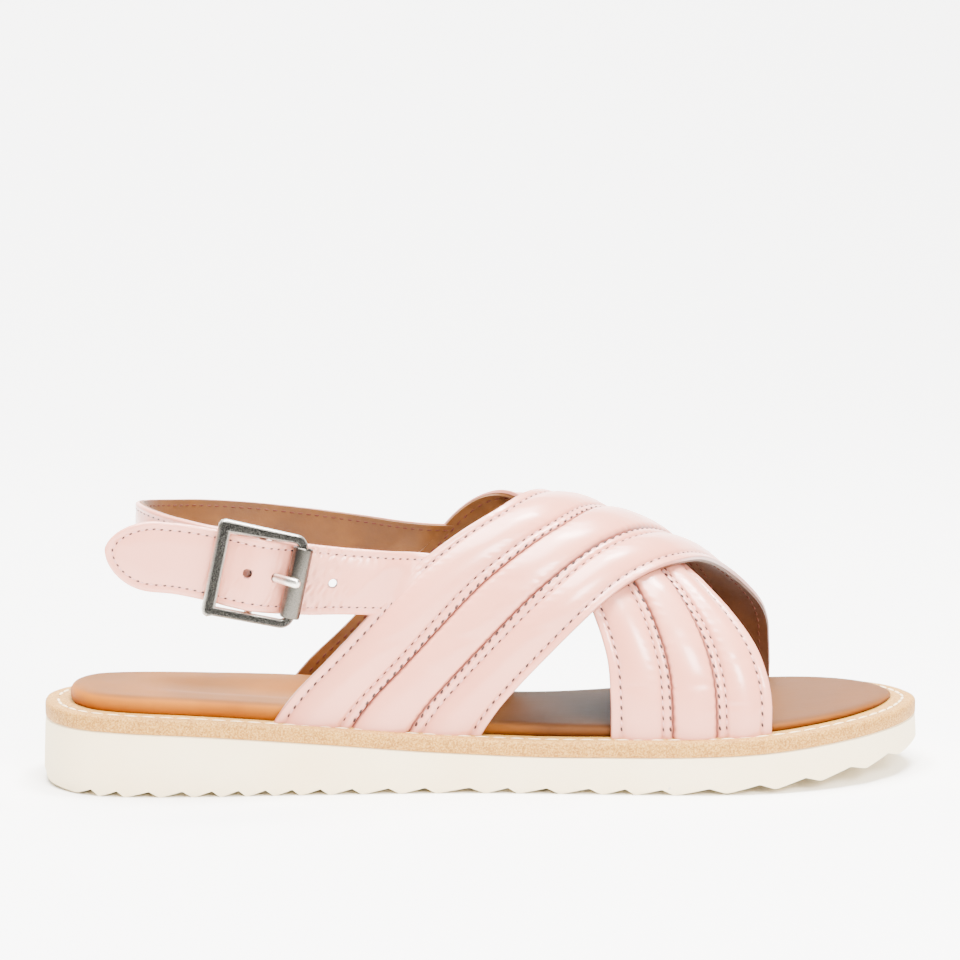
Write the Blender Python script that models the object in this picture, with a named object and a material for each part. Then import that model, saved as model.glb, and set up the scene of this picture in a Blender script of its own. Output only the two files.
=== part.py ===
"""A right-foot sandal with two padded straps that cross over the instep and a buckled strap
round the heel, on a light wedge sole with a saw-tooth tread.

Sizes are in metres, +Z is up, the toe points to +X and the outer (lateral) side faces -Y.
The tables are in millimetres, measured from the back of the heel along the shoe, and an empty
at the end carries every piece, so that the origin is under the middle of the sole.
"""

import math

import bmesh
import bpy
from mathutils import Matrix, Vector

MM = 0.001
MEETING_GAP = 0.3 * MM

# The sole's outline seen from above, as points of one closed curve. It starts at the back of
# the heel and runs along the outer side to the toe and back along the inner side, and each
# point faces the one with the same number counted the other way round.
OUTLINE = (
    # along, across
    (0, 0),
    (2.2, -14),
    (10, -25.5),
    (24, -31.2),
    (46, -33.4),
    (80, -34.0),
    (120, -36.0),
    (155, -41.5),
    (186, -46.8),
    (211, -46.8),
    (234, -38.8),
    (250.5, -25.5),
    (259.8, -10),
    (262, 3),
    (257.5, 20),
    (245, 35),
    (224, 45.6),
    (200, 46.6),
    (175, 40.5),
    (145, 31.8),
    (112, 28.8),
    (80, 31.2),
    (46, 33.4),
    (24, 31.2),
    (10, 25.5),
    (2.2, 14),
)
POINTS_PER_SPAN = 4

# Heights of the layers along the shoe. The foam wedge is thickest at the heel, and the toe
# springs up from the ball. The footbed is a cushion at the heel and thin under the toes, and
# its inner edge rises at the arch.
LAYERS = (
    # along, tread, foam top, footbed rim, arch rise
    (0, 0.6, 19.4, 4.8, 0.0),
    (20, 0.0, 18.6, 4.8, 0.0),
    (45, 0.0, 17.4, 4.8, 0.2),
    (80, 0.0, 14.6, 4.7, 1.9),
    (110, 0.0, 12.1, 4.2, 2.0),
    (140, 0.0, 10.7, 3.6, 0.8),
    (165, 0.0, 10.7, 3.2, 0.1),
    (185, 0.0, 10.9, 3.0, 0.0),
    (200, 0.8, 11.3, 2.8, 0.0),
    (215, 1.9, 12.2, 2.6, 0.0),
    (235, 4.2, 13.9, 2.3, 0.0),
    (250, 6.2, 15.0, 2.0, 0.0),
    (262, 7.8, 15.6, 1.9, 0.0),
)
TREAD, FOAM_TOP, FOOTBED_RIM, ARCH_RISE = 1, 2, 3, 4
WELT_THICKNESS = 4.8 * MM
FOOTBED_INSET = 7.5 * MM
HEEL_DISH = 1.3 * MM

# Where the points of the saw teeth stand along the outer edge.
TOOTH_TIPS = (
    8.5, 15.5, 23, 33, 42.5, 50.5, 58, 66, 73.5, 82, 91.5, 102.5, 113,
    127, 136.5, 148.5, 160.5, 170, 181, 196, 210.5, 224.5, 239.5, 252,
)
TOOTH_DEPTH = 1.75 * MM
TOOTH_FLAT = 0.9 * MM
STEEP_SHARE = 0.34

# The last under the straps: the height and place of its ridge. Its sections are superellipses
# that stand on the welt along both edges of the footbed.
RIDGE = (
    # along, height, across
    (60, 108, 4),
    (90, 97, 5),
    (115, 89.0, 6),
    (135, 82.4, 7),
    (150, 77.6, 7),
    (165, 73.2, 7),
    (180, 66.9, 6),
    (192, 61.0, 6),
    (204, 55.2, 6),
    (216, 50, 6),
    (230, 45, 6),
    (245, 41, 6),
)
RIDGE_HEIGHT, RIDGE_ACROSS = 1, 2
SECTION_POWER = 2.35
STRAP_INSET = 6.9 * MM

# The edges of the two cross straps. The turn goes from 0 degrees at the outer edge of the
# footbed, over the instep, to 180 degrees at its inner edge.
OVER_STRAP = (
    # turn, rear edge, front edge
    (0, 65.9, 126.2),
    (10, 81.0, 137.6),
    (20, 92.6, 147.8),
    (35, 106.5, 161.5),
    (50, 120.6, 174.0),
    (65, 133.4, 185.4),
    (80, 142.4, 195.0),
    (95, 149.8, 204.4),
    (110, 157.4, 213.4),
    (125, 164.5, 219.8),
    (140, 171.6, 223.0),
    (155, 175.5, 224.2),
    (168, 177.5, 224.8),
    (180, 178.0, 225.2),
)
UNDER_STRAP = (
    # turn, rear edge, front edge
    (0, 163.5, 210.3),
    (10, 163.6, 210.1),
    (20, 162.7, 209.3),
    (35, 158.6, 206.5),
    (50, 153.5, 200.9),
    (65, 149.2, 193.6),
    (80, 144.6, 187.8),
    (95, 138.2, 183.6),
    (110, 130.9, 179.8),
    (125, 123.8, 175.0),
    (140, 115.8, 168.5),
    (155, 103.0, 161.0),
    (168, 89.4, 151.5),
    (180, 72.0, 139.0),
)
REAR, FRONT = 1, 2
STRAP_ROWS = 40

# Each cross strap is three padded channels between flat stitched flanges.
FLANGE_THICKNESS = 2.0 * MM
CHANNEL_RISE = 2.0 * MM
CHANNELS = ((0.065, 0.325), (0.37, 0.66), (0.705, 0.935))
CHANNEL_SAMPLES = (0.0, 0.16, 0.5, 0.84, 1.0)
CHANNEL_POWER = 0.6
LINING_SAMPLES = 9

# Under the crossing the lower strap is pressed flat, and the upper one rides over it.
PRESSED_THICKNESS = 4.2 * MM
CROSSING_LIFT = 3.6 * MM
PRESS_REACH = 5.0 * MM
LIFT_REACH = 10.0 * MM

# The buckle lies against the outer side of the ankle. Its own axes are x towards the toe, y in
# towards the foot and z up across the strap.
BUCKLE_PLACE = (61.0, -36.0, 64.8)
BUCKLE_DROP = 12.0
BUCKLE_TOE_IN = 2.0
FRAME_HALF_LENGTH = 11.7 * MM
FRAME_HALF_HEIGHT = 12.4 * MM
FRAME_WIRE = 1.6 * MM
FRAME_CORNER = 3.2 * MM
FRAME_CORNER_TIGHT = 1.2 * MM
CENTRE_BAR_WIRE = 1.1 * MM
CENTRE_BAR_SET_IN = 3.5 * MM
ROLLER_RADIUS = 2.9 * MM
ROLLER_WALL = 0.8 * MM
ROLLER_LENGTH = 20.6 * MM
PRONG_WIRE = 1.25 * MM
PRONG_EYE_RADIUS = 2.5 * MM
PRONG_EYE_WIDTH = 3.4 * MM
PRONG_ROUTE = ((1.8, 3.0), (8.4, -3.2), (10.4, -4.55), (12.6, -4.5))

# The two parts of the ankle strap, as rows along the middle of each.
BILLET = (
    # buckle x, buckle y, buckle z, half width, lean
    (-42.8, 3.4, -1.7, 10.2, 0),
    (-32.0, 3.1, -0.8, 10.2, 0),
    (-22.0, 3.0, 0.1, 10.2, 0),
    (-11.7, 3.1, 0.3, 10.2, 0),
    (-6.0, 0.9, 0.3, 10.1, 0),
    (0.0, -0.5, 0.3, 10.1, 0),
    (6.0, 2.0, 0.5, 10.0, 0),
    (11.7, 4.7, 0.9, 9.9, 0),
    (17.0, 5.0, 1.5, 9.8, 2),
    (25.0, 5.3, 2.3, 9.7, 6),
    (34.0, 6.0, 3.2, 9.7, 11),
    (42.0, 7.7, 3.9, 9.7, 15),
    (52.0, 10.6, 4.8, 9.7, 18),
)
BILLET_THICKNESS = 2.0 * MM
BILLET_TIP_LENGTH = 15.0 * MM
BILLET_HOLES = (-2.8, 4.4, 13.9, 22.6)
PRONG_HOLE = 1
HOLE_RADIUS = 1.25 * MM
HOLE_RISE = 0.045
PUNCH_LENGTH = 9 * MM

SLING = (
    # along, across, height, half width, lean
    (59.4, -31.3, 66.3, 10.0, 0),
    (54.5, -30.8, 67.4, 10.0, 0),
    (48.5, -30.4, 68.5, 10.0, 0),
    (42.5, -26.5, 69.5, 10.0, 0),
    (36.0, -19.5, 70.5, 10.0, 0),
    (30.6, -10.0, 71.6, 10.0, -1),
    (28.6, 0.0, 72.2, 10.0, -2),
    (31.2, 10.5, 71.4, 10.0, -1),
    (37.5, 19.5, 70.4, 10.0, 0),
    (48.0, 26.8, 69.4, 10.0, 0),
    (63.0, 30.3, 67.9, 10.0, 0),
    (80.0, 30.6, 65.9, 10.0, 3),
    (96.0, 28.0, 64.1, 10.0, 8),
    (108.0, 24.2, 62.9, 10.0, 13),
    (118.0, 20.3, 62.3, 10.0, 15),
    (127.0, 16.2, 61.7, 10.0, 16),
)
SLING_THICKNESS = 2.2 * MM
TRIM_ROWS = 11
TRIM_REACH = (-6 * MM, 8 * MM)
SLING_EYE_WALL = 1.3 * MM
SLING_EYE_LENGTH = 19 * MM
PRONG_SLOT = (6.4 * MM, 9 * MM)


def blend(a, b, share):
    return a + (b - a) * share


def smooth_step(share):
    share = min(max(share, 0.0), 1.0)
    return share * share * (3 - 2 * share)


def read(table, column, where):
    """A smooth curve through one column of a table, read at a value of its first column."""
    if where <= table[0][0]:
        return table[0][column]
    if where >= table[-1][0]:
        return table[-1][column]
    low = max(i for i, row in enumerate(table) if row[0] <= where)
    before, a = table[max(low - 1, 0)], table[low]
    b, after = table[low + 1], table[min(low + 2, len(table) - 1)]
    span = b[0] - a[0]
    t = (where - a[0]) / span
    slope_a = (b[column] - before[column]) / (b[0] - before[0]) * span
    slope_b = (after[column] - a[column]) / (after[0] - a[0]) * span
    return (
        (2 * t**3 - 3 * t**2 + 1) * a[column]
        + (t**3 - 2 * t**2 + t) * slope_a
        + (3 * t**2 - 2 * t**3) * b[column]
        + (t**3 - t**2) * slope_b
    )


def curve_point(a, b, c, d, t):
    """A point between b and c on the smooth curve that passes through a, b, c and d."""
    return 0.5 * (
        2 * b
        + (c - a) * t
        + (2 * a - 5 * b + 4 * c - d) * t**2
        + (3 * b - 3 * c + d - a) * t**3
    )


def outline(inset, per_span=POINTS_PER_SPAN):
    """The sole's outline moved inwards, as points in the plane."""
    marks = [Vector(row) * MM for row in OUTLINE]
    count = len(marks)
    curve = [
        curve_point(marks[i - 1], marks[i], marks[(i + 1) % count], marks[(i + 2) % count], k / per_span)
        for i in range(count)
        for k in range(per_span)
    ]
    moved = []
    for i, point in enumerate(curve):
        run = curve[(i + 1) % len(curve)] - curve[i - 1]
        inward = Vector((-run.y, run.x)).normalized()
        moved.append(point + inward * inset)
    return moved


def layer(column, along):
    return read(LAYERS, column, along / MM) * MM


def foam_top(along):
    return layer(FOAM_TOP, along)


def welt_top(along):
    return foam_top(along) + WELT_THICKNESS


def crossing_of(points, along, side):
    """The outermost y at which a closed outline passes a station, on one side."""
    found = []
    for a, b in zip(points, points[1:] + points[:1]):
        if (a.x - along) * (b.x - along) <= 0 and a.x != b.x:
            found.append(blend(a.y, b.y, (along - a.x) / (b.x - a.x)))
    return max(found, key=lambda y: y * side)


STRAP_LINE = outline(STRAP_INSET, 8)


def last_point(along, turn):
    """A point of the last under the straps."""
    low = welt_top(along) + MEETING_GAP
    ridge_y = read(RIDGE, RIDGE_ACROSS, along / MM) * MM
    rise = read(RIDGE, RIDGE_HEIGHT, along / MM) * MM - low
    side = 1 if turn > 90 else -1
    reach = crossing_of(STRAP_LINE, along, side) - ridge_y
    angle = math.radians(turn)
    power = 2 / SECTION_POWER
    y = ridge_y + reach * abs(math.cos(angle)) ** power
    z = low + rise * max(math.sin(angle), 0.0) ** power
    return Vector((along, y, z))


def last_normal(along, turn):
    """The outward direction of the last, level where the straps meet the welt."""
    inner_turn = min(max(turn, 1.5), 178.5)
    over = last_point(along, inner_turn + 0.8) - last_point(along, inner_turn - 0.8)
    forward = last_point(along + MM, inner_turn) - last_point(along - MM, inner_turn)
    normal = forward.cross(over).normalized()
    normal = normal if normal.z > 0 or abs(normal.y) > 0.9 else -normal
    level = 1 - smooth_step(min(turn, 180 - turn) / 12)
    flat = Vector((0, normal.y, 0)).normalized()
    return normal.lerp(flat, level).normalized()


def strap_edge(strap, column, turn):
    return read(strap, column, turn) * MM


def inside(strap, along, turn):
    """How far a place lies inside a strap's two edges; less than 0 is outside."""
    return min(along - strap_edge(strap, REAR, turn), strap_edge(strap, FRONT, turn) - along)


def strap_thickness(share):
    """The thickness of a cross strap at a share of its width, from rear edge to front edge."""
    for start, end in CHANNELS:
        if start < share < end:
            t = (share - start) / (end - start)
            return FLANGE_THICKNESS + CHANNEL_RISE * math.sin(math.pi * t) ** CHANNEL_POWER
    return FLANGE_THICKNESS


def over_strap_faces(along, turn, share):
    """How far the lining and the face of the upper cross strap stand off the last."""
    lift = CROSSING_LIFT * smooth_step(1 + inside(UNDER_STRAP, along, turn) / LIFT_REACH)
    return lift, lift + strap_thickness(share)


def under_strap_faces(along, turn, share):
    """The same for the lower cross strap, which is pressed flat under the upper one."""
    pressed = smooth_step(1.6 + inside(OVER_STRAP, along, turn) / PRESS_REACH)
    return 0.0, blend(strap_thickness(share), PRESSED_THICKNESS, pressed)


def new_object(name, mesh):
    made = bpy.data.objects.new(name, mesh)
    bpy.context.scene.collection.objects.link(made)
    return made


def solid_from(name, work):
    """Turns a bmesh into an object whose faces point outwards."""
    bmesh.ops.recalc_face_normals(work, faces=work.faces[:])
    if work.calc_volume(signed=True) < 0:
        bmesh.ops.reverse_faces(work, faces=work.faces[:])
    mesh = bpy.data.meshes.new(name)
    work.to_mesh(mesh)
    work.free()
    return new_object(name, mesh)


def skin(work, loops, closed_ends=True):
    """Faces between rings with the same number of vertices, with both ends closed."""
    rings = [[work.verts.new(point) for point in loop] for loop in loops]
    for near, far in zip(rings, rings[1:]):
        for i in range(len(near)):
            j = (i + 1) % len(near)
            work.faces.new((near[i], near[j], far[j], far[i]))
    if closed_ends:
        work.faces.new(rings[0])
        work.faces.new(rings[-1])
    return rings


def lace_across(work, ring):
    """Closes a ring of the outline with faces that run straight across the shoe."""
    count = len(ring)
    for i in range(count // 2):
        face = [ring[i], ring[i + 1], ring[-i - 1], ring[-i]]
        work.faces.new([v for n, v in enumerate(face) if v not in face[:n]])


def layered(name, loops):
    """A solid of stacked rings of the outline, laced across at the bottom and at the top."""
    work = bmesh.new()
    rings = skin(work, loops, closed_ends=False)
    lace_across(work, rings[0])
    lace_across(work, rings[-1])
    return solid_from(name, work)


def ring_at(inset, height):
    """The outline at an inset, with its height from a function of its place."""
    return [Vector((p.x, p.y, height(p))) for p in outline(inset)]


def join(target, other, operation):
    """A Boolean that keeps the other object out of the model."""
    other.hide_render = True
    other.display_type = "WIRE"
    cut = target.modifiers.new(operation.title(), "BOOLEAN")
    cut.operation = operation
    cut.solver = "EXACT"
    cut.object = other


def material(name, colour, roughness, metallic=0.0):
    made = bpy.data.materials.new(name)
    made.use_nodes = True
    shader = made.node_tree.nodes["Principled BSDF"]
    shader.inputs["Base Color"].default_value = (*colour, 1)
    shader.inputs["Roughness"].default_value = roughness
    shader.inputs["Metallic"].default_value = metallic
    return made


def outsole():
    """The foam wedge, cut below by one long saw-tooth profile that runs across the shoe."""
    below = -5 * MM
    wedge = layered(
        "outsole",
        [ring_at(0, lambda p: below), ring_at(0, lambda p: foam_top(p.x))],
    )
    reach, top = 70 * MM, 40 * MM
    first = -10 * MM
    profile = [Vector((first, 0, top)), Vector((first, 0, TOOTH_DEPTH))]
    tips = [tip * MM for tip in TOOTH_TIPS]
    for tip, following in zip(tips, tips[1:] + [272 * MM]):
        valley = tip + (following - tip) * (1 - STEEP_SHARE)
        lift = max(layer(TREAD, tip), 0.0)
        profile.append(Vector((tip - TOOTH_FLAT / 2, 0, lift)))
        profile.append(Vector((tip + TOOTH_FLAT / 2, 0, lift)))
        profile.append(Vector((valley, 0, layer(TREAD, valley) + TOOTH_DEPTH)))
    profile.append(Vector((profile[-1].x + MM, 0, top)))
    work = bmesh.new()
    across = Vector((0, reach, 0))
    skin(work, [[p - across for p in profile], [p + across for p in profile]])
    join(wedge, solid_from("tread_profile", work), "INTERSECT")
    return wedge


def welt():
    """The leather midsole: a plate of even thickness that follows the foam."""
    return layered(
        "welt",
        [
            ring_at(0, lambda p: foam_top(p.x) + MEETING_GAP),
            ring_at(0, lambda p: welt_top(p.x)),
        ],
    )


def footbed():
    """The covered cushion that the foot stands on, with a rolled edge and a shallow dish."""

    def height(share, dish):
        def at(p):
            rim = layer(FOOTBED_RIM, p.x)
            inner_side = smooth_step((p.y / MM + 4) / 26)
            rim += layer(ARCH_RISE, p.x) * inner_side
            sink = dish * HEEL_DISH * (1 - smooth_step((p.x / MM - 60) / 90))
            return welt_top(p.x) + MEETING_GAP + (rim - MEETING_GAP) * share - sink

        return at

    # inset past the footbed's edge, share of the rim's height, share of the dish
    steps = ((0.5, 0, 0), (0, 0.35, 0), (0.4, 0.75, 0), (1.7, 0.95, 0), (3.6, 1, 0), (9, 1, 0.5), (16, 1, 0.9), (20, 1, 1))
    loops = [
        ring_at(FOOTBED_INSET + step * MM, height(share, dish)) for step, share, dish in steps
    ]
    return layered("footbed", loops)


def strap_samples():
    """The shares of a cross strap's width at which its face has a line of vertices."""
    shares = [0.0]
    for start, end in CHANNELS:
        shares += [blend(start, end, t) for t in CHANNEL_SAMPLES]
    return [*shares, 1.0]


def strap_solid(name, strap, faces, turns, widen=0.0):
    """A wall over the last between a strap's edges. faces gives its lining and its face."""
    outer = strap_samples()
    inner = [1 - i / (LINING_SAMPLES - 1) for i in range(LINING_SAMPLES)]
    loops = []
    for turn in turns:
        rear = strap_edge(strap, REAR, turn) - widen
        front = strap_edge(strap, FRONT, turn) + widen
        loop = []
        for side, shares in ((1, outer), (0, inner)):
            for share in shares:
                along = blend(rear, front, share)
                stand_off = faces(along, turn, share)[side]
                loop.append(last_point(along, turn) + last_normal(along, turn) * stand_off)
        loops.append(loop)
    work = bmesh.new()
    skin(work, loops)
    return solid_from(name, work)


def strap_block(name, strap, start, end):
    """A thick block on a cross strap's place, which trims the ankle strap's end to its edge."""
    turns = [blend(start, end, row / TRIM_ROWS) for row in range(TRIM_ROWS + 1)]
    return strap_solid(name, strap, lambda along, turn, share: TRIM_REACH, turns, MEETING_GAP)


def upper():
    """The two cross straps, joined where they cross over the instep."""
    turns = [180 * row / STRAP_ROWS for row in range(STRAP_ROWS + 1)]
    over = strap_solid("upper", OVER_STRAP, over_strap_faces, turns)
    join(over, strap_solid("lower_cross_strap", UNDER_STRAP, under_strap_faces, turns), "UNION")
    return over


def buckle_matrix():
    turn = Matrix.Rotation(math.radians(BUCKLE_TOE_IN), 4, "Z")
    drop = Matrix.Rotation(math.radians(BUCKLE_DROP), 4, "Y")
    return Matrix.Translation(Vector(BUCKLE_PLACE) * MM) @ turn @ drop


def ribbon(name, rows, steps, thickness, tip_length=0.0):
    """A flat strap along a smooth line. A row is centre x, y, z, half width and lean, and the
    lean tips the strap's top edge in towards the foot. The first end can be rounded."""
    marks = [Vector((*row[:3], row[3], row[4])) for row in rows]
    marks = [marks[0] * 2 - marks[1], *marks, marks[-1] * 2 - marks[-2]]
    path = [
        curve_point(*marks[i : i + 4], k / steps) for i in range(len(rows) - 1) for k in range(steps)
    ]
    path.append(marks[-2])
    centres = [Vector(mark[:3]) * MM for mark in path]
    loops, run = [], 0.0
    for i, mark in enumerate(path):
        before, after = centres[max(i - 1, 0)], centres[min(i + 1, len(path) - 1)]
        along = (after - before).normalized()
        run += (centres[i] - centres[i - 1]).length if i else 0.0
        half = mark[3] * MM
        if run < tip_length:
            half *= math.sqrt(max(1 - (1 - run / tip_length) ** 2, 0.03))
        up = (Vector((0, 0, 1)) - along * along.z).normalized()
        face = up.cross(along)
        up = Matrix.Rotation(math.radians(mark[4]), 3, along) @ up
        face = Matrix.Rotation(math.radians(mark[4]), 3, along) @ face
        corners = ((1, 1), (-1, 1), (-1, -1), (1, -1))
        loops.append([centres[i] + up * half * a + face * thickness / 2 * b for a, b in corners])
    work = bmesh.new()
    skin(work, loops)
    return solid_from(name, work)


def cylinder(name, radius, length, at, direction, sides=10):
    """A closed cylinder centred on a point."""
    work = bmesh.new()
    bmesh.ops.create_cone(
        work, cap_ends=True, segments=sides, radius1=radius, radius2=radius, depth=length
    )
    turn = Vector((0, 0, 1)).rotation_difference(Vector(direction)).to_matrix().to_4x4()
    work.transform(Matrix.Translation(at) @ turn)
    return solid_from(name, work)


def billet():
    """The pointed end of the ankle strap, sewn to the rear edge of the upper cross strap. It
    passes under the roller, over the centre bar and under the frame's far side."""
    seat = buckle_matrix()
    rows = [(*row[:4], -row[4]) for row in BILLET]
    strap = ribbon("ankle_strap_billet", rows, 3, BILLET_THICKNESS, BILLET_TIP_LENGTH)
    strap.data.transform(seat)
    prong_start, prong_run = prong_line()
    for number, hole in enumerate(BILLET_HOLES):
        middle = Vector((hole, read(BILLET, 1, hole), 0.3 + HOLE_RISE * hole)) * MM
        direction, radius = Vector((0, 1, 0)), HOLE_RADIUS
        if number == PRONG_HOLE:
            middle = prong_start + prong_run * (hole * MM - prong_start.x) / prong_run.x
            direction, radius = prong_run, PRONG_WIRE + 2 * MEETING_GAP
        punch = cylinder(f"punch_{number}", radius, PUNCH_LENGTH, middle, direction)
        punch.data.transform(seat)
        join(strap, punch, "DIFFERENCE")
    join(strap, strap_block("billet_trim", OVER_STRAP, 2, 62.5), "DIFFERENCE")
    return strap


def prong_line():
    """Where the prong leaves its eye, and the direction in which it passes the strap."""
    start, bend = (Vector((x, y, 0.3)) * MM for x, y in PRONG_ROUTE[:2])
    return start, (bend - start).normalized()


def tube_along(name, path, radius, sides=8, closed=False):
    """A round wire along points that lie in one plane."""
    flat = (path[1] - path[0]).cross(path[-1] - path[1]).normalized()
    loops = []
    count = len(path)
    for i, point in enumerate(path):
        before = path[i - 1] if closed or i else point
        after = path[(i + 1) % count] if closed or i < count - 1 else point
        run = (after - before).normalized()
        level = flat
        cross = run.cross(level)
        loops.append(
            [
                point
                + level * radius * math.cos(math.tau * (k + 0.5) / sides)
                + cross * radius * math.sin(math.tau * (k + 0.5) / sides)
                for k in range(sides)
            ]
        )
    work = bmesh.new()
    if closed:
        loops.append(loops[0])
    skin(work, loops, closed_ends=not closed)
    if closed:
        bmesh.ops.remove_doubles(work, verts=work.verts[:], dist=1e-7)
    return solid_from(name, work)


def frame_path():
    """The middle of the frame's wire: tight corners at the far end, round ones at the roller."""
    path = []
    for sign_x, sign_z, first in ((1, 1, 0), (-1, 1, 90), (-1, -1, 180), (1, -1, 270)):
        corner = FRAME_CORNER if sign_x > 0 else FRAME_CORNER_TIGHT
        centre = Vector(
            (sign_x * (FRAME_HALF_LENGTH - corner), 0, sign_z * (FRAME_HALF_HEIGHT - corner))
        )
        steps = 4 if sign_x > 0 else 2
        for k in range(steps + 1):
            angle = math.radians(first + 90 * k / steps)
            path.append(centre + Vector((math.cos(angle), 0, math.sin(angle))) * corner)
    return path


def buckle_frame():
    """A wire rectangle with a centre bar that is set in towards the foot."""
    frame = tube_along("buckle_frame", frame_path(), FRAME_WIRE, closed=True)
    depth = CENTRE_BAR_SET_IN
    high = FRAME_HALF_HEIGHT
    bar = [Vector((0, y, z)) for y, z in ((0, high), (depth, high - MM), (depth, MM - high), (0, -high))]
    join(frame, tube_along("centre_bar", bar, CENTRE_BAR_WIRE), "UNION")
    return frame


def ring_tube(name, inner, outer, length, at, sides=16):
    """A short tube whose axis runs across the strap."""
    work = bmesh.new()
    loops = []
    for radius, end in ((inner, -1), (outer, -1), (outer, 1), (inner, 1), (inner, -1)):
        angles = [math.tau * k / sides for k in range(sides)]
        loops.append(
            [at + Vector((math.cos(a) * radius, math.sin(a) * radius, end * length / 2)) for a in angles]
        )
    skin(work, loops, closed_ends=False)
    bmesh.ops.remove_doubles(work, verts=work.verts[:], dist=1e-7)
    return solid_from(name, work)


def buckle_roller():
    return ring_tube(
        "buckle_roller",
        ROLLER_RADIUS - ROLLER_WALL,
        ROLLER_RADIUS,
        ROLLER_LENGTH,
        Vector((FRAME_HALF_LENGTH, 0, 0)),
    )


def buckle_prong():
    """The tongue: an eye round the centre bar and a shank that ends across the roller."""
    eye_centre = Vector((0, CENTRE_BAR_SET_IN, 0.3 * MM))
    eye_bore = CENTRE_BAR_WIRE + MEETING_GAP
    prong = ring_tube("buckle_prong", eye_bore, PRONG_EYE_RADIUS, PRONG_EYE_WIDTH, eye_centre, 12)
    route = [Vector((x, y, 0.3)) * MM for x, y in PRONG_ROUTE]
    join(prong, tube_along("prong_shank", route, PRONG_WIRE), "UNION")
    return prong


def sling():
    """The strap round the heel, lined like the cross straps. It is sewn to the rear edge of the
    lower cross strap and folded round the buckle's centre bar."""
    strap = ribbon("heel_sling", SLING, 3, SLING_THICKNESS)
    seat = buckle_matrix()
    bar = Vector((0, CENTRE_BAR_SET_IN, 0.6 * MM))
    bore = CENTRE_BAR_WIRE + MEETING_GAP
    eye = cylinder("sling_eye", bore + SLING_EYE_WALL, SLING_EYE_LENGTH, bar, (0, 0, 1), 16)
    eye.data.transform(seat)
    join(strap, eye, "UNION")
    clear_bore = cylinder("eye_bore", bore, 1.3 * SLING_EYE_LENGTH, bar, (0, 0, 1), 16)
    clear_bore.data.transform(seat)
    join(strap, clear_bore, "DIFFERENCE")
    work = bmesh.new()
    bmesh.ops.create_cube(work, size=1)
    slot_height = PRONG_EYE_WIDTH + 2 * MEETING_GAP
    bmesh.ops.scale(work, vec=(*PRONG_SLOT, slot_height), verts=work.verts[:])
    bmesh.ops.translate(work, vec=Vector((0, bar.y, 0.3 * MM)), verts=work.verts[:])
    slot = solid_from("prong_slot", work)
    slot.data.transform(seat)
    join(strap, slot, "DIFFERENCE")
    join(strap, strap_block("sling_trim", UNDER_STRAP, 115, 170), "DIFFERENCE")
    return strap


def main():
    for old in list(bpy.data.objects):
        bpy.data.objects.remove(old)

    foam = material("moulded_foam", (0.83, 0.79, 0.71), 0.6)
    veg_leather = material("vegetable_tanned_leather", (0.72, 0.49, 0.27), 0.7)
    cover = material("footbed_leather", (0.48, 0.22, 0.09), 0.42)
    face_leather = material("polished_leather", (0.82, 0.61, 0.58), 0.3)
    nickel = material("antique_nickel", (0.5, 0.49, 0.46), 0.35, 1.0)

    edge = outline(0)
    middle = Vector(
        (
            (min(p.x for p in edge) + max(p.x for p in edge)) / 2,
            (min(p.y for p in edge) + max(p.y for p in edge)) / 2,
            0,
        )
    )
    centre = bpy.data.objects.new("sandal", None)
    centre.location = -middle
    bpy.context.scene.collection.objects.link(centre)
    seat = bpy.data.objects.new("buckle_seat", None)
    seat.matrix_world = buckle_matrix()
    seat.parent = centre
    bpy.context.scene.collection.objects.link(seat)

    for piece, finish, carrier in (
        (outsole(), foam, centre),
        (welt(), veg_leather, centre),
        (footbed(), cover, centre),
        (upper(), face_leather, centre),
        (billet(), face_leather, centre),
        (sling(), face_leather, centre),
        (buckle_frame(), nickel, seat),
        (buckle_roller(), nickel, seat),
        (buckle_prong(), nickel, seat),
    ):
        piece.data.materials.append(finish)
        piece.parent = carrier
        for modifier in piece.modifiers:
            if modifier.type == "BOOLEAN" and modifier.object.parent is None:
                modifier.object.parent = carrier


main()
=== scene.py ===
# %% [markdown]
# # A cross strap sandal, as it leaves the bench
# This lesson dresses the plain solids of a right-foot sandal: two padded straps that cross over
# the instep, a buckled strap round the heel, a cushioned footbed, a leather welt and a light
# foam sole. Every piece takes its place from the same tables of sizes as the solids, so nothing
# is fitted afterwards. Sizes are read in millimetres, because shoemakers think in them.

# %% Load the solids
import math
from collections import namedtuple
import bmesh
import bpy
import numpy as np
from mathutils import Matrix, Vector


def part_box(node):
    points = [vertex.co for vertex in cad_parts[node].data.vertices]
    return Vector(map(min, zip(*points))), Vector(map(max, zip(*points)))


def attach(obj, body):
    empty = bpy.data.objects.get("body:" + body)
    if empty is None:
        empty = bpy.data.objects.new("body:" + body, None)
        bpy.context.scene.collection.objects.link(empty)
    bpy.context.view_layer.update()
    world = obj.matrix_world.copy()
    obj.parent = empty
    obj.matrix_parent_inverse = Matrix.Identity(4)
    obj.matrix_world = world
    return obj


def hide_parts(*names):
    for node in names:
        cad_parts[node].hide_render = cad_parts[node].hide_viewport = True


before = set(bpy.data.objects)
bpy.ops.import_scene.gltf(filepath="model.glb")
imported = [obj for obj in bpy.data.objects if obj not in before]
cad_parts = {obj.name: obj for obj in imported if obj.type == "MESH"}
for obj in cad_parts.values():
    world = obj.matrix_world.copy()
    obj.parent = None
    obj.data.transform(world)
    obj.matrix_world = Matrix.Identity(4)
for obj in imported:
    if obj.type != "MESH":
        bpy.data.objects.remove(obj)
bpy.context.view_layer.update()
MM = 0.001
BODY = "root"
SOLE_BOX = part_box("outsole")
print("solids:", sorted(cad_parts), "sole:", SOLE_BOX)

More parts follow.
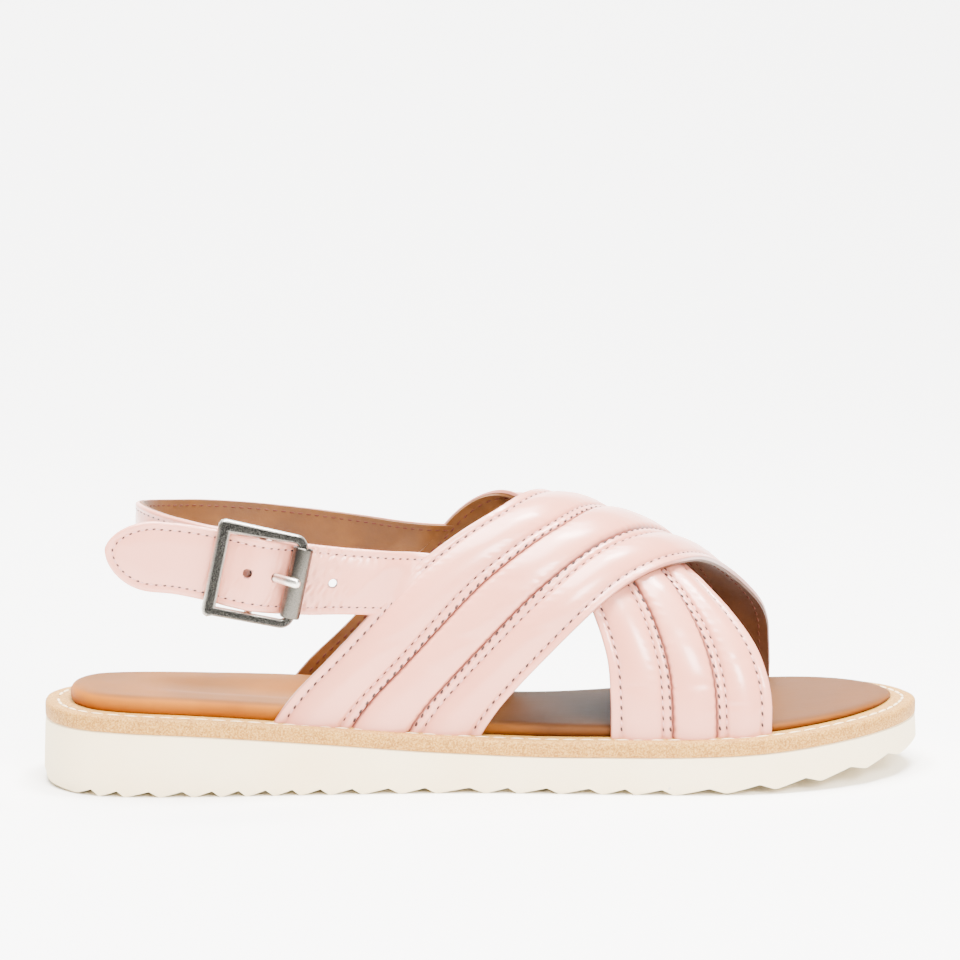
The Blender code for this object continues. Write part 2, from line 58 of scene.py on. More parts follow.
# %% [markdown]
# ## The sizes that everything follows
# The sole's outline is one closed curve: from the back of the heel along the outer side to the
# toe, and back along the inner side. The layers and the last are tables along the shoe. A last
# is the wooden foot that straps are pulled over, and its sections here are superellipses, which
# are rounder than a box and fuller than an ellipse, like a real instep.

# %% Sizes of the sole and the last
OUTLINE = (
    # along, across
    (0, 0), (2.2, -14), (10, -25.5), (24, -31.2), (46, -33.4), (80, -34.0), (120, -36.0),
    (155, -41.5), (186, -46.8), (211, -46.8), (234, -38.8), (250.5, -25.5), (259.8, -10),
    (262, 3), (257.5, 20), (245, 35), (224, 45.6), (200, 46.6), (175, 40.5), (145, 31.8),
    (112, 28.8), (80, 31.2), (46, 33.4), (24, 31.2), (10, 25.5), (2.2, 14),
)
TOE_POINT = 13
LAYERS = (
    # along, tread, foam top, footbed rim, arch rise
    (0, 0.6, 19.4, 4.8, 0.0),
    (20, 0.0, 18.6, 4.8, 0.0),
    (45, 0.0, 17.4, 4.8, 0.2),
    (80, 0.0, 14.6, 4.7, 1.9),
    (110, 0.0, 12.1, 4.2, 2.0),
    (140, 0.0, 10.7, 3.6, 0.8),
    (165, 0.0, 10.7, 3.2, 0.1),
    (185, 0.0, 10.9, 3.0, 0.0),
    (200, 0.8, 11.3, 2.8, 0.0),
    (215, 1.9, 12.2, 2.6, 0.0),
    (235, 4.2, 13.9, 2.3, 0.0),
    (250, 6.2, 15.0, 2.0, 0.0),
    (262, 7.8, 15.6, 1.9, 0.0),
)
TREAD, FOAM_TOP, FOOTBED_RIM, ARCH_RISE = 1, 2, 3, 4
WELT_THICKNESS = 4.8
RIDGE = (
    # along, height, across
    (60, 108, 4),
    (90, 97, 5),
    (115, 89.0, 6),
    (135, 82.4, 7),
    (150, 77.6, 7),
    (165, 73.2, 7),
    (180, 66.9, 6),
    (192, 61.0, 6),
    (204, 55.2, 6),
    (216, 50, 6),
    (230, 45, 6),
    (245, 41, 6),
)
SECTION_POWER = 2.35
RIDGE_ROUNDING = 0.02
RIDGE_FROM, RIDGE_SPAN = 62, 56
LEVEL_TURN = 12
STRAP_INSET = 6.9
MEETING_GAP = 0.3


def read(table, column, where):
    """A smooth curve through one column of a table, read at values of its first column."""
    rows = np.array(table, float)
    x, y = rows[:, 0], rows[:, column]
    slope = np.empty(len(x))
    slope[1:-1] = (y[2:] - y[:-2]) / (x[2:] - x[:-2])
    slope[0] = (y[1] - y[0]) / (x[1] - x[0])
    slope[-1] = (y[-1] - y[-2]) / (x[-1] - x[-2])
    where = np.clip(where, x[0], x[-1])
    low = np.clip(np.searchsorted(x, where, "right") - 1, 0, len(x) - 2)
    span = x[low + 1] - x[low]
    t = (where - x[low]) / span
    return (
        (2 * t**3 - 3 * t**2 + 1) * y[low]
        + (t**3 - 2 * t**2 + t) * span * slope[low]
        + (3 * t**2 - 2 * t**3) * y[low + 1]
        + (t**3 - t**2) * span * slope[low + 1]
    )


def smooth_step(share):
    share = np.clip(share, 0, 1)
    return share * share * (3 - 2 * share)


def blend(a, b, share):
    return a + (b - a) * share

def unit(vectors):
    return vectors / np.linalg.norm(vectors, axis=1)[:, None]


def running_length(path):
    """The length of a path up to each of its points."""
    return np.concatenate([[0], np.cumsum(np.linalg.norm(np.diff(path, axis=0), axis=1))])


def through(a, b, c, d, t):
    """A smooth curve from b to c, which also heeds the points before and after them."""
    return 0.5 * (
        2 * b + (c - a) * t + (2 * a - 5 * b + 4 * c - d) * t**2 + (3 * b - 3 * c + d - a) * t**3
    )


def outline_curve(per_span=24):
    """The outline as many points, with the inward direction at each."""
    marks = np.array(OUTLINE, float)
    before, after, later = (np.roll(marks, step, 0) for step in (1, -1, -2))
    t = np.arange(per_span)[:, None, None] / per_span
    curve = through(before, marks, after, later, t).transpose(1, 0, 2).reshape(-1, 2)
    run = np.roll(curve, -1, 0) - np.roll(curve, 1, 0)
    return curve, unit(np.stack([-run[:, 1], run[:, 0]], 1))


CURVE, INWARD = outline_curve()
TOE_INDEX = len(CURVE) * TOE_POINT // len(OUTLINE)
MIDDLE = (CURVE.max(0) + CURVE.min(0)) / 2
print("sole:", np.ptp(CURVE, 0).round(1), "mm, middle at", MIDDLE.round(2))


def around(turn, inset):
    """A place at a share of the way round the outline, moved inwards."""
    spot = np.asarray(turn, float) % 1 * len(CURVE)
    low = spot.astype(int)
    share = (spot - low)[:, None]
    after = (low + 1) % len(CURVE)
    edge = blend(CURVE[low], CURVE[after], share)
    return edge + blend(INWARD[low], INWARD[after], share) * np.asarray(inset)[:, None]


def foam_top(along):
    return read(LAYERS, FOAM_TOP, along)


def welt_top(along):
    return foam_top(along) + WELT_THICKNESS


STRAP_LINE = CURVE + INWARD * STRAP_INSET
OUTER_SIDE, INNER_SIDE = STRAP_LINE[: TOE_INDEX + 1], STRAP_LINE[TOE_INDEX:][::-1]


def last_point(along, turn):
    """Points of the last, at a station and a turn from its outer edge over to its inner one."""
    low = welt_top(along) + MEETING_GAP
    ridge_y = read(RIDGE, 2, along)
    rise = read(RIDGE, 1, along) - low
    outer = np.interp(along, OUTER_SIDE[:, 0], OUTER_SIDE[:, 1])
    inner = np.interp(along, INNER_SIDE[:, 0], INNER_SIDE[:, 1])
    reach = blend(ridge_y - outer, inner - ridge_y, smooth_step((turn - RIDGE_FROM) / RIDGE_SPAN))
    angle = np.radians(turn)
    power = 2 / SECTION_POWER
    cosine = np.cos(angle)
    rounding = (cosine**2 + RIDGE_ROUNDING) / (1 + RIDGE_ROUNDING)
    y = ridge_y - reach * cosine * rounding ** ((power - 1) / 2)
    z = low + rise * np.clip(np.sin(angle), 0, 1) ** power
    return np.stack([along, y, z], 1)


def off_the_welt(turn, reach):
    """0 where a strap meets the welt at either side, and 1 from reach degrees up from there."""
    return smooth_step(np.minimum(turn, 180 - turn) / reach)


def last_normal(along, turn):
    """The outward direction there, level where the straps meet the welt."""
    inner_turn = np.clip(turn, 1.5, 178.5)
    over = last_point(along, inner_turn + 0.8) - last_point(along, inner_turn - 0.8)
    forward = last_point(along + 1, inner_turn) - last_point(along - 1, inner_turn)
    normal = unit(np.cross(forward, over))
    flip = (normal[:, 2] <= 0) & (np.abs(normal[:, 1]) <= 0.9)
    normal = np.where(flip[:, None], -normal, normal)
    level = 1 - off_the_welt(turn, LEVEL_TURN)
    flat = np.zeros_like(normal)
    flat[:, 1] = np.sign(normal[:, 1])
    return unit(blend(normal, flat, level[:, None]))


# %% [markdown]
# ## Helpers for shaping
# A strap or a rim starts as a flat sheet from `create_grid`, whose two directions are shares of
# its width and length. Extruding the sheet's faces gives it a second side and a rim, and then
# all its vertices are moved at once to their places on the shoe. Keeping the topology flat and
# simple until the last step makes even a padded, curved strap a clean grid.

# %% Sheets, rings and finished objects
def drawn_out(work, faces, by):
    """Extrudes faces along a vector, into a solid that keeps both ends."""
    made = bmesh.ops.extrude_face_region(work, geom=faces, use_keep_orig=True)
    moved = [part for part in made["geom"] if isinstance(part, bmesh.types.BMVert)]
    bmesh.ops.translate(work, vec=by, verts=moved)
    return work


def flat_sheet(columns, rows, walled=True):
    """A grid with its columns and rows in x and y from 0 to 1, and a second side at z = 1."""
    work = bmesh.new()
    bmesh.ops.create_grid(
        work, x_segments=columns, y_segments=rows, size=0.5, matrix=Matrix.Translation((0.5, 0.5, 0))
    )
    return drawn_out(work, work.faces[:], (0, 0, 1)) if walled else work


def place(work, where, tint=None):
    """Moves all vertices at once. where takes their x, y and z and gives points in millimetres,
    and tint gives the share of dark colour that the finish shows there: painted shade on the
    leather, black patina on the buckle."""
    flat = np.array([vertex.co for vertex in work.verts])
    if tint:
        groove = work.verts.layers.float.new("groove")
        for vertex, share in zip(work.verts, tint(*flat.T)):
            vertex[groove] = share
    for vertex, point in zip(work.verts, where(*flat.T)):
        vertex.co = point
    return work


def close_ring(work, capped=False):
    """Turns a sheet whose first and last columns met into a ring, and a capped tube into a solid."""
    bmesh.ops.remove_doubles(work, verts=work.verts[:], dist=0.0005)
    if capped:
        bmesh.ops.holes_fill(work, edges=[edge for edge in work.edges if edge.is_boundary])
    return work


def outward(work):
    """Turns the faces of a closed shape outwards."""
    bmesh.ops.recalc_face_normals(work, faces=work.faces[:])
    if work.calc_volume(signed=True) < 0:
        bmesh.ops.reverse_faces(work, faces=work.faces[:])
    return work


def linked(name, work):
    """A bmesh as a smoothly shaded object in the scene."""
    mesh = bpy.data.meshes.new(name)
    work.to_mesh(mesh)
    work.free()
    mesh.shade_smooth()
    made = bpy.data.objects.new(name, mesh)
    bpy.context.scene.collection.objects.link(made)
    return made


def finish_piece(name, work, finish, replaces=(), sharp=40):
    """Moves a shaped bmesh to the row's frame, as an object with its finish, riding the body."""
    outward(work).transform(Matrix.Scale(MM, 4) @ Matrix.Translation((-MIDDLE[0], -MIDDLE[1], 0)))
    piece = linked(name, work)
    piece.data.set_sharp_from_angle(angle=math.radians(sharp))
    for one in finish if isinstance(finish, list) else [finish]:
        piece.data.materials.append(one)
    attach(piece, BODY)
    if replaces:
        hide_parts(*replaces)
    print(f"{name}: {sum(len(face.vertices) - 2 for face in piece.data.polygons)} triangles")


# %% [markdown]
# ## Helpers for finishes
# Each finish is a Principled shader with a few procedural nodes. One function adds a node with
# its settings and its links, and one turns the hex colours that a designer reads off a swatch
# into the linear values that the renderer mixes. Sizes of patterns are given in millimetres.

# %% Nodes and colours
COLOURS, TIMES = {"data_type": "RGBA"}, {"operation": "MULTIPLY"}


def linear(hex_colour):
    """An sRGB hex colour as linear red, green, blue and alpha."""
    channels = [int(hex_colour[i : i + 2], 16) / 255 for i in (1, 3, 5)]
    return [c / 12.92 if c <= 0.04045 else ((c + 0.055) / 1.055) ** 2.4 for c in channels] + [1.0]


def per(size_mm):
    """The scale of a texture whose lumps are about this size."""
    return 1 / (size_mm * MM)


def fill(tree, node, values):
    """Sets inputs of a node, each to a plain value or to another node's output. An underscore
    stands for a space in an input's name, and _6 for input number 6."""
    for name, value in values.items():
        socket = node.inputs[int(name[1:]) if name[0] == "_" else name.replace("_", " ")]
        if isinstance(value, bpy.types.NodeSocket):
            tree.links.new(value, socket)
        else:
            socket.default_value = value


def add(tree, kind, output=0, settings=None, stops=(), **values):
    """Adds a node with its settings and inputs, and gives one of its outputs. The stops of a
    colour ramp are places with a hex colour or a grey."""
    made = tree.nodes.new("ShaderNode" + kind)
    for setting, value in (settings or {}).items():
        setattr(made, setting, value)
    fill(tree, made, values)
    if stops:
        elements = made.color_ramp.elements
        while len(elements) < len(stops):
            elements.new(0.5)
        for element, (position, shade) in zip(elements, stops):
            element.position = position
            element.color = linear(shade) if isinstance(shade, str) else (shade, shade, shade, 1)
    return made.outputs[output]


def new_finish(name, **values):
    """A material with one Principled shader, whose plain values are set on its own sockets."""
    made = bpy.data.materials.new(name)
    made.use_nodes = True
    shader = made.node_tree.nodes["Principled BSDF"]
    fill(made.node_tree, shader, values)
    return made, made.node_tree, shader


# %% [markdown]
# ## Polished pink leather
# Corrected-grain calf, sprayed with pigment and plated under heat: that closes the pores, so
# the grain is shallow and the light runs over it in broad soft patches. A clear coat over a
# half-matt base gives both the patch and its soft edge. Shade is painted dark into the seams and
# along the cut edges, where each mesh's own groove attribute says so. Real pores are a tenth of a
# millimetre, too fine for the picture, so the grain here is drawn five times coarser.

# %% Finish: polished leather
def polished_leather():
    made, tree, shader = new_finish(
        "polished_corrected_grain_leather", Roughness=0.42, Coat_Weight=0.85, Coat_Roughness=0.22, IOR=1.5
    )
    where = add(tree, "TexCoord", "Object")
    clouds = add(tree, "TexNoise", Vector=where, Scale=per(26), Detail=3, Roughness=0.55)
    tone = add(tree, "ValToRGB", stops=((0.3, "#D78871"), (0.7, "#DD9078")), Fac=clouds)
    groove = add(tree, "Attribute", "Fac", {"attribute_name": "groove"})
    # painted shade: the groove attribute mixes in this dark red-brown at seams, cut edges and holes
    colour = add(tree, "Mix", 2, COLOURS, _0=groove, _6=tone, _7=linear("#5E2C22"))
    pull = add(tree, "TexNoise", Vector=where, Scale=per(7), Detail=2, Roughness=0.55)
    pulled = add(tree, "Bump", Height=pull, Distance=0.35 * MM, Strength=0.25)
    pores = add(tree, "TexVoronoi", "Distance", {"feature": "F1"}, Vector=where, Scale=per(0.55))
    relief = add(tree, "Bump", Height=pores, Distance=0.03 * MM, Strength=0.35, Normal=pulled)
    fill(tree, shader, {"Base_Color": colour, "Normal": relief})
    return made


# %% [markdown]
# ## Tan lining and footbed leather
# Vegetable-tanned goat and cow split, dyed through and left open: it takes light deep, so the
# colour is warm and uneven. Shade is painted in towards the toe: inside the straps, and on the
# footbed, most where the straps cover it. Where the footbed faces up it is painted a greyer
# brown in patches, as a painted sheen. The lining is matt with a fine nap of creases, and the
# footbed cover is smoother. The nap is drawn at half a millimetre, which is several times
# coarser than the real one.

# %% Finish: lining and footbed
def lining_leather():
    made, tree, shader = new_finish(
        "vegetable_tanned_lining", Roughness=0.58, Sheen_Weight=0.15, Sheen_Roughness=0.4
    )
    where = add(tree, "TexCoord", "Object")
    mottle = add(tree, "TexNoise", Vector=where, Scale=per(9), Detail=5, Roughness=0.55)
    dyes = ((0.25, "#583003"), (0.55, "#673A05"), (0.8, "#76460B"))
    tone = add(tree, "ValToRGB", stops=dyes, Fac=mottle)
    along = add(tree, "SeparateXYZ", "X", Vector=where)
    forward = add(tree, "MapRange", Value=along, From_Min=0.0, From_Max=0.09)
    # painted shade: the lining darkens towards the toe, where the inside of the straps' front is in shade
    painted_toe_shade = add(tree, "ValToRGB", stops=((0.0, 0.0), (1.0, 0.85)), Fac=forward)
    colour = add(tree, "Mix", 2, COLOURS, _0=painted_toe_shade, _6=tone, _7=linear("#4A2409"))
    folds = add(tree, "TexNoise", Vector=where, Scale=per(3.5), Detail=3, Roughness=0.55)
    folded = add(tree, "Bump", Height=folds, Distance=0.25 * MM, Strength=0.4)
    nap = add(tree, "TexNoise", Vector=where, Scale=per(0.6), Detail=4, Roughness=0.55)
    relief = add(tree, "Bump", Height=nap, Distance=0.06 * MM, Strength=0.4, Normal=folded)
    fill(tree, shader, {"Base_Color": colour, "Normal": relief})
    return made


def footbed_leather():
    made, tree, shader = new_finish("waxed_footbed_leather", Roughness=0.62, Specular_IOR_Level=0.08)
    where = add(tree, "TexCoord", "Object")
    mottle = add(tree, "TexNoise", Vector=where, Scale=per(14), Detail=4, Roughness=0.55)
    tone = add(tree, "ValToRGB", stops=((0.3, "#8A4C09"), (0.7, "#97570D")), Fac=mottle)
    # painted sheen: faces that point up are mixed in patches towards a greyer brown
    facing = add(tree, "SeparateXYZ", "Z", Vector=add(tree, "NewGeometry", "Normal"))
    level = add(tree, "ValToRGB", stops=((0.75, 0.0), (0.97, 1.0)), Fac=facing)
    patches = add(tree, "TexNoise", Vector=where, Scale=per(30), Detail=3, Roughness=0.55)
    sheen_patchiness = add(tree, "ValToRGB", stops=((0.3, 0.55), (0.7, 0.9)), Fac=patches)
    painted_top_sheen = add(tree, "Math", 0, TIMES, _0=level, _1=sheen_patchiness)
    with_top_sheen = add(tree, "Mix", 2, COLOURS, _0=painted_top_sheen, _6=tone, _7=linear("#6A4322"))
    # painted shade: darker towards the toe, most where the straps cover the footbed
    along = add(tree, "SeparateXYZ", "X", Vector=where)
    forward = add(tree, "MapRange", Value=along, From_Min=-0.03, From_Max=0.12)
    footbed_shade_stops = ((0.0, 0.0), (0.3, 0.85), (0.42, 0.85), (0.75, 0.6))
    footbed_painted_shade = add(tree, "ValToRGB", stops=footbed_shade_stops, Fac=forward)
    colour = add(tree, "Mix", 2, COLOURS, _0=footbed_painted_shade, _6=with_top_sheen, _7=linear("#3E2413"))
    folds = add(tree, "TexNoise", Vector=where, Scale=per(5), Detail=2, Roughness=0.55)
    folded = add(tree, "Bump", Height=folds, Distance=0.3 * MM, Strength=0.2)
    nap = add(tree, "TexNoise", Vector=where, Scale=per(0.5), Detail=3, Roughness=0.55)
    relief = add(tree, "Bump", Height=nap, Distance=0.03 * MM, Strength=0.4, Normal=folded)
    fill(tree, shader, {"Base_Color": colour, "Normal": relief})
    return made


# %% [markdown]
# ## Natural welt leather
# A strip of undyed bend leather, cut and left raw: its edge shows the fibres as pale and dark
# specks, and only its top is smooth. A fine noise pushed through a steep ramp gives the specks.
# Fibres are about 0.1 mm thick, so they are drawn in bundles of half a millimetre.

# %% Finish: welt
def welt_leather():
    made, tree, shader = new_finish("natural_bend_leather", Roughness=0.74)
    where = add(tree, "TexCoord", "Object")
    mottle = add(tree, "TexNoise", Vector=where, Scale=per(4), Detail=4, Roughness=0.55)
    base = add(tree, "ValToRGB", stops=((0.3, "#9C6616"), (0.7, "#B07A22")), Fac=mottle)
    fibres = add(tree, "TexNoise", Vector=where, Scale=per(0.55), Detail=3, Roughness=0.7)
    bundles = ((0.36, "#4E2E0E"), (0.46, "#A26E20"), (0.68, "#DDB565"))
    specks = add(tree, "ValToRGB", stops=bundles, Fac=fibres)
    colour = add(tree, "Mix", 2, COLOURS, _0=0.55, _6=base, _7=specks)
    frays = add(tree, "TexNoise", Vector=where, Scale=per(0.6), Detail=5, Roughness=0.7)
    relief = add(tree, "Bump", Height=frays, Distance=0.16 * MM, Strength=0.7)
    fill(tree, shader, {"Base_Color": colour, "Normal": relief})
    return made


# %% [markdown]
# ## Foam sole
# Moulded EVA foam: an off-white body, matt, with a closed skin and a few faint scuffs. Foam lets
# a little light in, so its shadows are warm. The skin's dimples are a fifth of a millimetre, and
# drawn four times coarser.

# %% Finish: foam
def foam_rubber():
    made, tree, shader = new_finish(
        "moulded_eva_foam", Roughness=0.62, Subsurface_Weight=0.1, Subsurface_Scale=2 * MM,
        Subsurface_Radius=(1.0, 0.85, 0.7),
    )
    where = add(tree, "TexCoord", "Object")
    clouds = add(tree, "TexNoise", Vector=where, Scale=per(40), Detail=3, Roughness=0.55)
    tone = add(tree, "ValToRGB", stops=((0.3, "#F0DAAD"), (0.7, "#F6E4BE")), Fac=clouds)
    marks = add(tree, "TexNoise", Vector=where, Scale=per(3.2), Detail=2, Roughness=0.4)
    scuff = add(tree, "ValToRGB", stops=((0.19, 1.0), (0.23, 0.0)), Fac=marks)
    colour = add(tree, "Mix", 2, COLOURS, _0=scuff, _6=tone, _7=linear("#CFC4B2"))
    dimples = add(tree, "TexNoise", Vector=where, Scale=per(0.8), Detail=3, Roughness=0.55)
    relief = add(tree, "Bump", Height=dimples, Distance=0.04 * MM, Strength=0.5)
    fill(tree, shader, {"Base_Color": colour, "Normal": relief})
    return made


# %% [markdown]
# ## Antique nickel
# Zinc castings are tumbled, nickel plated, dipped in a black bath and tumbled again: the black
# stays in the grain of the flats and comes off the edges. The renderer's pointiness would find
# the edges, but it needs a dense mesh, so the mesh says itself where the flats are, in its
# groove attribute. The grain of the casting is a tenth of a millimetre, and drawn three times
# coarser. The roller's copy of the nickel is painted darker, for the dark reflections along its
# round wall, and the prong is rubbed bright.

# %% Finish: buckle
def antique_nickel(name, bright, dark):
    made, tree, shader = new_finish(name, Roughness=0.3, Metallic=1.0)
    where = add(tree, "TexCoord", "Object")
    grain = add(tree, "TexNoise", Vector=where, Scale=per(0.28), Detail=3, Roughness=0.6)
    tone = add(tree, "ValToRGB", stops=((0.25, dark), (0.6, bright)), Fac=grain)
    groove = add(tree, "Attribute", "Fac", {"attribute_name": "groove"})
    hold = add(tree, "ValToRGB", stops=((0.4, 1.0), (0.72, 0.9)), Fac=grain)
    black = add(tree, "Math", 0, TIMES, _0=groove, _1=hold)
    colour = add(tree, "Mix", 2, COLOURS, _0=black, _6=tone, _7=linear("#0A0A09"))
    polish = add(tree, "ValToRGB", stops=((0.3, 0.4), (0.7, 0.26)), Fac=grain)
    relief = add(tree, "Bump", Height=grain, Distance=0.01 * MM, Strength=0.3)
    fill(tree, shader, {"Base_Color": colour, "Roughness": polish, "Normal": relief})
    return made


# %% [markdown]
# ## Thread
# Bonded polyester: the upper thread matches the leather, and a dark bead at each needle hole is
# painted shade, for the hole's own shadow. The welt is sewn with a heavy cream thread. The twist
# of the yarn shows as a faint change of tone every 0.3 mm.

# %% Finish: threads
def thread(name, colour, roughness=0.6):
    made, tree, shader = new_finish(name, Roughness=roughness, Sheen_Weight=0.04)
    where = add(tree, "TexCoord", "Object")
    dark = "#" + "".join("%02X" % max(int(colour[i : i + 2], 16) - 26, 0) for i in (1, 3, 5))
    twist = add(tree, "TexNoise", Vector=where, Scale=per(0.3), Detail=3, Roughness=0.55)
    tone = add(tree, "ValToRGB", stops=((0.3, dark), (0.6, colour)), Fac=twist)
    fill(tree, shader, {"Base_Color": tone})
    return made


pink = polished_leather()
tan = lining_leather()
cover = footbed_leather()
natural = welt_leather()
foam = foam_rubber()
nickel = antique_nickel("antique_nickel_plate", "#DAD5CA", "#938E84")
rubbed_nickel = antique_nickel("rubbed_nickel_plate", "#F4EFE5", "#CFC9BD")
# painted reflection: the roller's copy is darker, for the dark reflections along its wall
roller_nickel_painted_dark = antique_nickel("nickel_plate_painted_dark", "#625E57", "#3C3A36")
pink_thread = thread("matched_polyester_thread", "#D99C92")
# painted shade: a dark bead at each needle hole stands in for the hole's shadow
needle_hole_shade = thread("needle_hole_painted_shade", "#3E2620", 0.7)
cream_thread = thread("waxed_cream_thread", "#F2DDB6")
brown_thread = thread("brown_lining_thread", "#5C2606", 0.8)
print("finishes:", len(bpy.data.materials))

# %% [markdown]
# ## The foam sole
# The real sole comes from a mould whose floor is a saw blade: each tooth rises gently towards
# the toe and then drops. A solid with the sole's outline is cut by one saw-tooth profile that
# is extruded right across the shoe, which is both how the mould was milled and the shortest
# way to model it. The lower heel corner is rounded by drawing the wall in at its foot.

# %% Foam sole
TOOTH_TIPS = (
    8.5, 15.5, 23, 33, 42.5, 50.5, 58, 66, 73.5, 82, 91.5, 102.5, 113,
    127, 136.5, 148.5, 160.5, 170, 181, 196, 210.5, 224.5, 239.5, 252,
)
TOOTH_DEPTH = 1.75
TOOTH_FLAT = 0.9
STEEP_SHARE = 0.34
RING_STEPS = 312


def ring_wall(levels, inset_at, height_at):
    """A closed stack of rings of the outline. Level 0 is the bottom ring."""
    def where(u, v, w):
        level = np.rint(v * levels).astype(int)
        spot = around(u, inset_at(level))
        return np.column_stack([spot, height_at(level, spot[:, 0], spot[:, 1])])

    return close_ring(place(flat_sheet(RING_STEPS, levels, walled=False), where))


def lace_open_rings(work):
    """Closes both open rings with quads that run straight across the shoe."""
    crossing = []
    for ring in open_rings(work):
        corners = {vertex for edge in ring for vertex in edge.verts}
        ends = {
            min(corners, key=lambda v: math.dist(v.co.xy, CURVE[mark])) for mark in (0, TOE_INDEX)
        }
        chains = [edge for edge in ring if not ends & set(edge.verts)]
        made = bmesh.ops.bridge_loops(work, edges=chains)
        crossing.append(made["edges"])
        rest = [edge for edge in made["edges"] if edge.is_boundary]
        rest += [edge for edge in ring if ends & set(edge.verts)]
        bmesh.ops.holes_fill(work, edges=rest)
    return crossing


def open_rings(work):
    """The boundary edges of a mesh, as separate rings."""
    left = [edge for edge in work.edges if edge.is_boundary]
    rings = []
    while left:
        ring, front = [], [left[0]]
        while front:
            edge = front.pop()
            ring.append(edge)
            left.remove(edge)
            near = [e for v in edge.verts for e in v.link_edges if e in left and e not in front]
            front += near
        rings.append(ring)
    return rings


def saw_profile():
    """The mould's floor, as a solid that keeps what lies above the tread."""
    work = bmesh.new()
    top, reach = 40, 70
    marks = [(-10, top), (-10, TOOTH_DEPTH)]
    for tip, following in zip(TOOTH_TIPS, (*TOOTH_TIPS[1:], 272)):
        valley = tip + (following - tip) * (1 - STEEP_SHARE)
        lift = max(float(read(LAYERS, TREAD, tip)), 0.0)
        marks += [(tip - TOOTH_FLAT / 2, lift), (tip + TOOTH_FLAT / 2, lift)]
        marks.append((valley, float(read(LAYERS, TREAD, valley)) + TOOTH_DEPTH))
    marks.append((marks[-1][0] + 1, top))
    side = work.faces.new([work.verts.new((x, -reach, z)) for x, z in marks])
    return drawn_out(work, [side], (0, 2 * reach, 0))


def boolean(work, other, operation):
    """The Boolean of two shaped bmeshes, as a new bmesh."""
    main, second = linked("main", outward(work)), linked("second", outward(other))
    cut = main.modifiers.new("cut", "BOOLEAN")
    cut.operation, cut.solver, cut.object = operation, "EXACT", second
    shape = main.evaluated_get(bpy.context.evaluated_depsgraph_get())
    result = bmesh.new()
    result.from_mesh(shape.to_mesh())
    for one in (main, second):
        bpy.data.objects.remove(one)
    return result


def foam_sole():
    """The sole's wall, which starts under the tread so that the saw cuts all of it. Only at the
    heel does the rounded corner of the wall stay above the tread."""
    corner, under_tread, under_elsewhere = 3.2, 0.5, 2.2
    turns = np.radians([0, 18, 36, 54, 72, 90])
    foot = [(corner * (1 - math.sin(a)), corner * (1 - math.cos(a))) for a in turns]
    insets = np.array([*(inset for inset, _ in foot), -0.45, -0.3, 0.0, 0.12, 0.5])
    lifts = np.array([*(lift for _, lift in foot), 4.6, 0.5, 0.9, 0.975, 1.0])

    def height(level, x, y):
        heel = 1 - smooth_step((x - 3) / 16)
        low = lifts[level] - under_tread - under_elsewhere * (1 - heel)
        return np.where(level <= len(foot), low, foam_top(x) * lifts[level])

    work = ring_wall(len(insets) - 1, lambda level: insets[level], height)
    lace_open_rings(work)
    return boolean(work, saw_profile(), "INTERSECT")


finish_piece("foam_sole", foam_sole(), foam, ["outsole"], sharp=24)

# %% [markdown]
# ## The welt and the footbed
# The welt is die-cut from one leather plate and skived to follow the foam. Its top carries a
# channel that a grooving knife cuts for the thread. The footbed is a cushion with its cover
# pulled round the edge, so its rim is a roll, and its heel is a shallow dish.

# %% Welt
WELT_SECTION = (
    # inset, height above the foam
    (9.0, 0.15), (0.35, 0.12), (0.04, 0.4), (0.0, 1.6), (0.0, 3.2), (0.12, 3.9), (0.42, 4.35),
    (0.95, 4.58), (1.8, 4.68), (3.1, 4.8), (3.5, 4.62), (3.9, 4.45), (4.3, 4.62), (4.7, 4.83),
    (7.0, 4.82), (12.0, 4.8),
)
FOOTBED_INSET = 7.5
HEEL_DISH = 1.3
FOOTBED_SECTION = (
    # step, inset past the footbed's edge, share of the rim's height
    (0, 0.9, -0.04), (1, 0.1, 0.22), (2, 0.0, 0.48), (3, 0.5, 0.75), (4, 1.7, 0.93),
    (5, 3.6, 1.0), (6, 7.0, 1.0), (7, 11.0, 1.0),
)


def welt_plate():
    section = np.array(WELT_SECTION)
    work = ring_wall(
        len(section) - 1,
        lambda level: section[level, 0],
        lambda level, x, y: foam_top(x) + section[level, 1],
    )
    lace_open_rings(work)
    return work


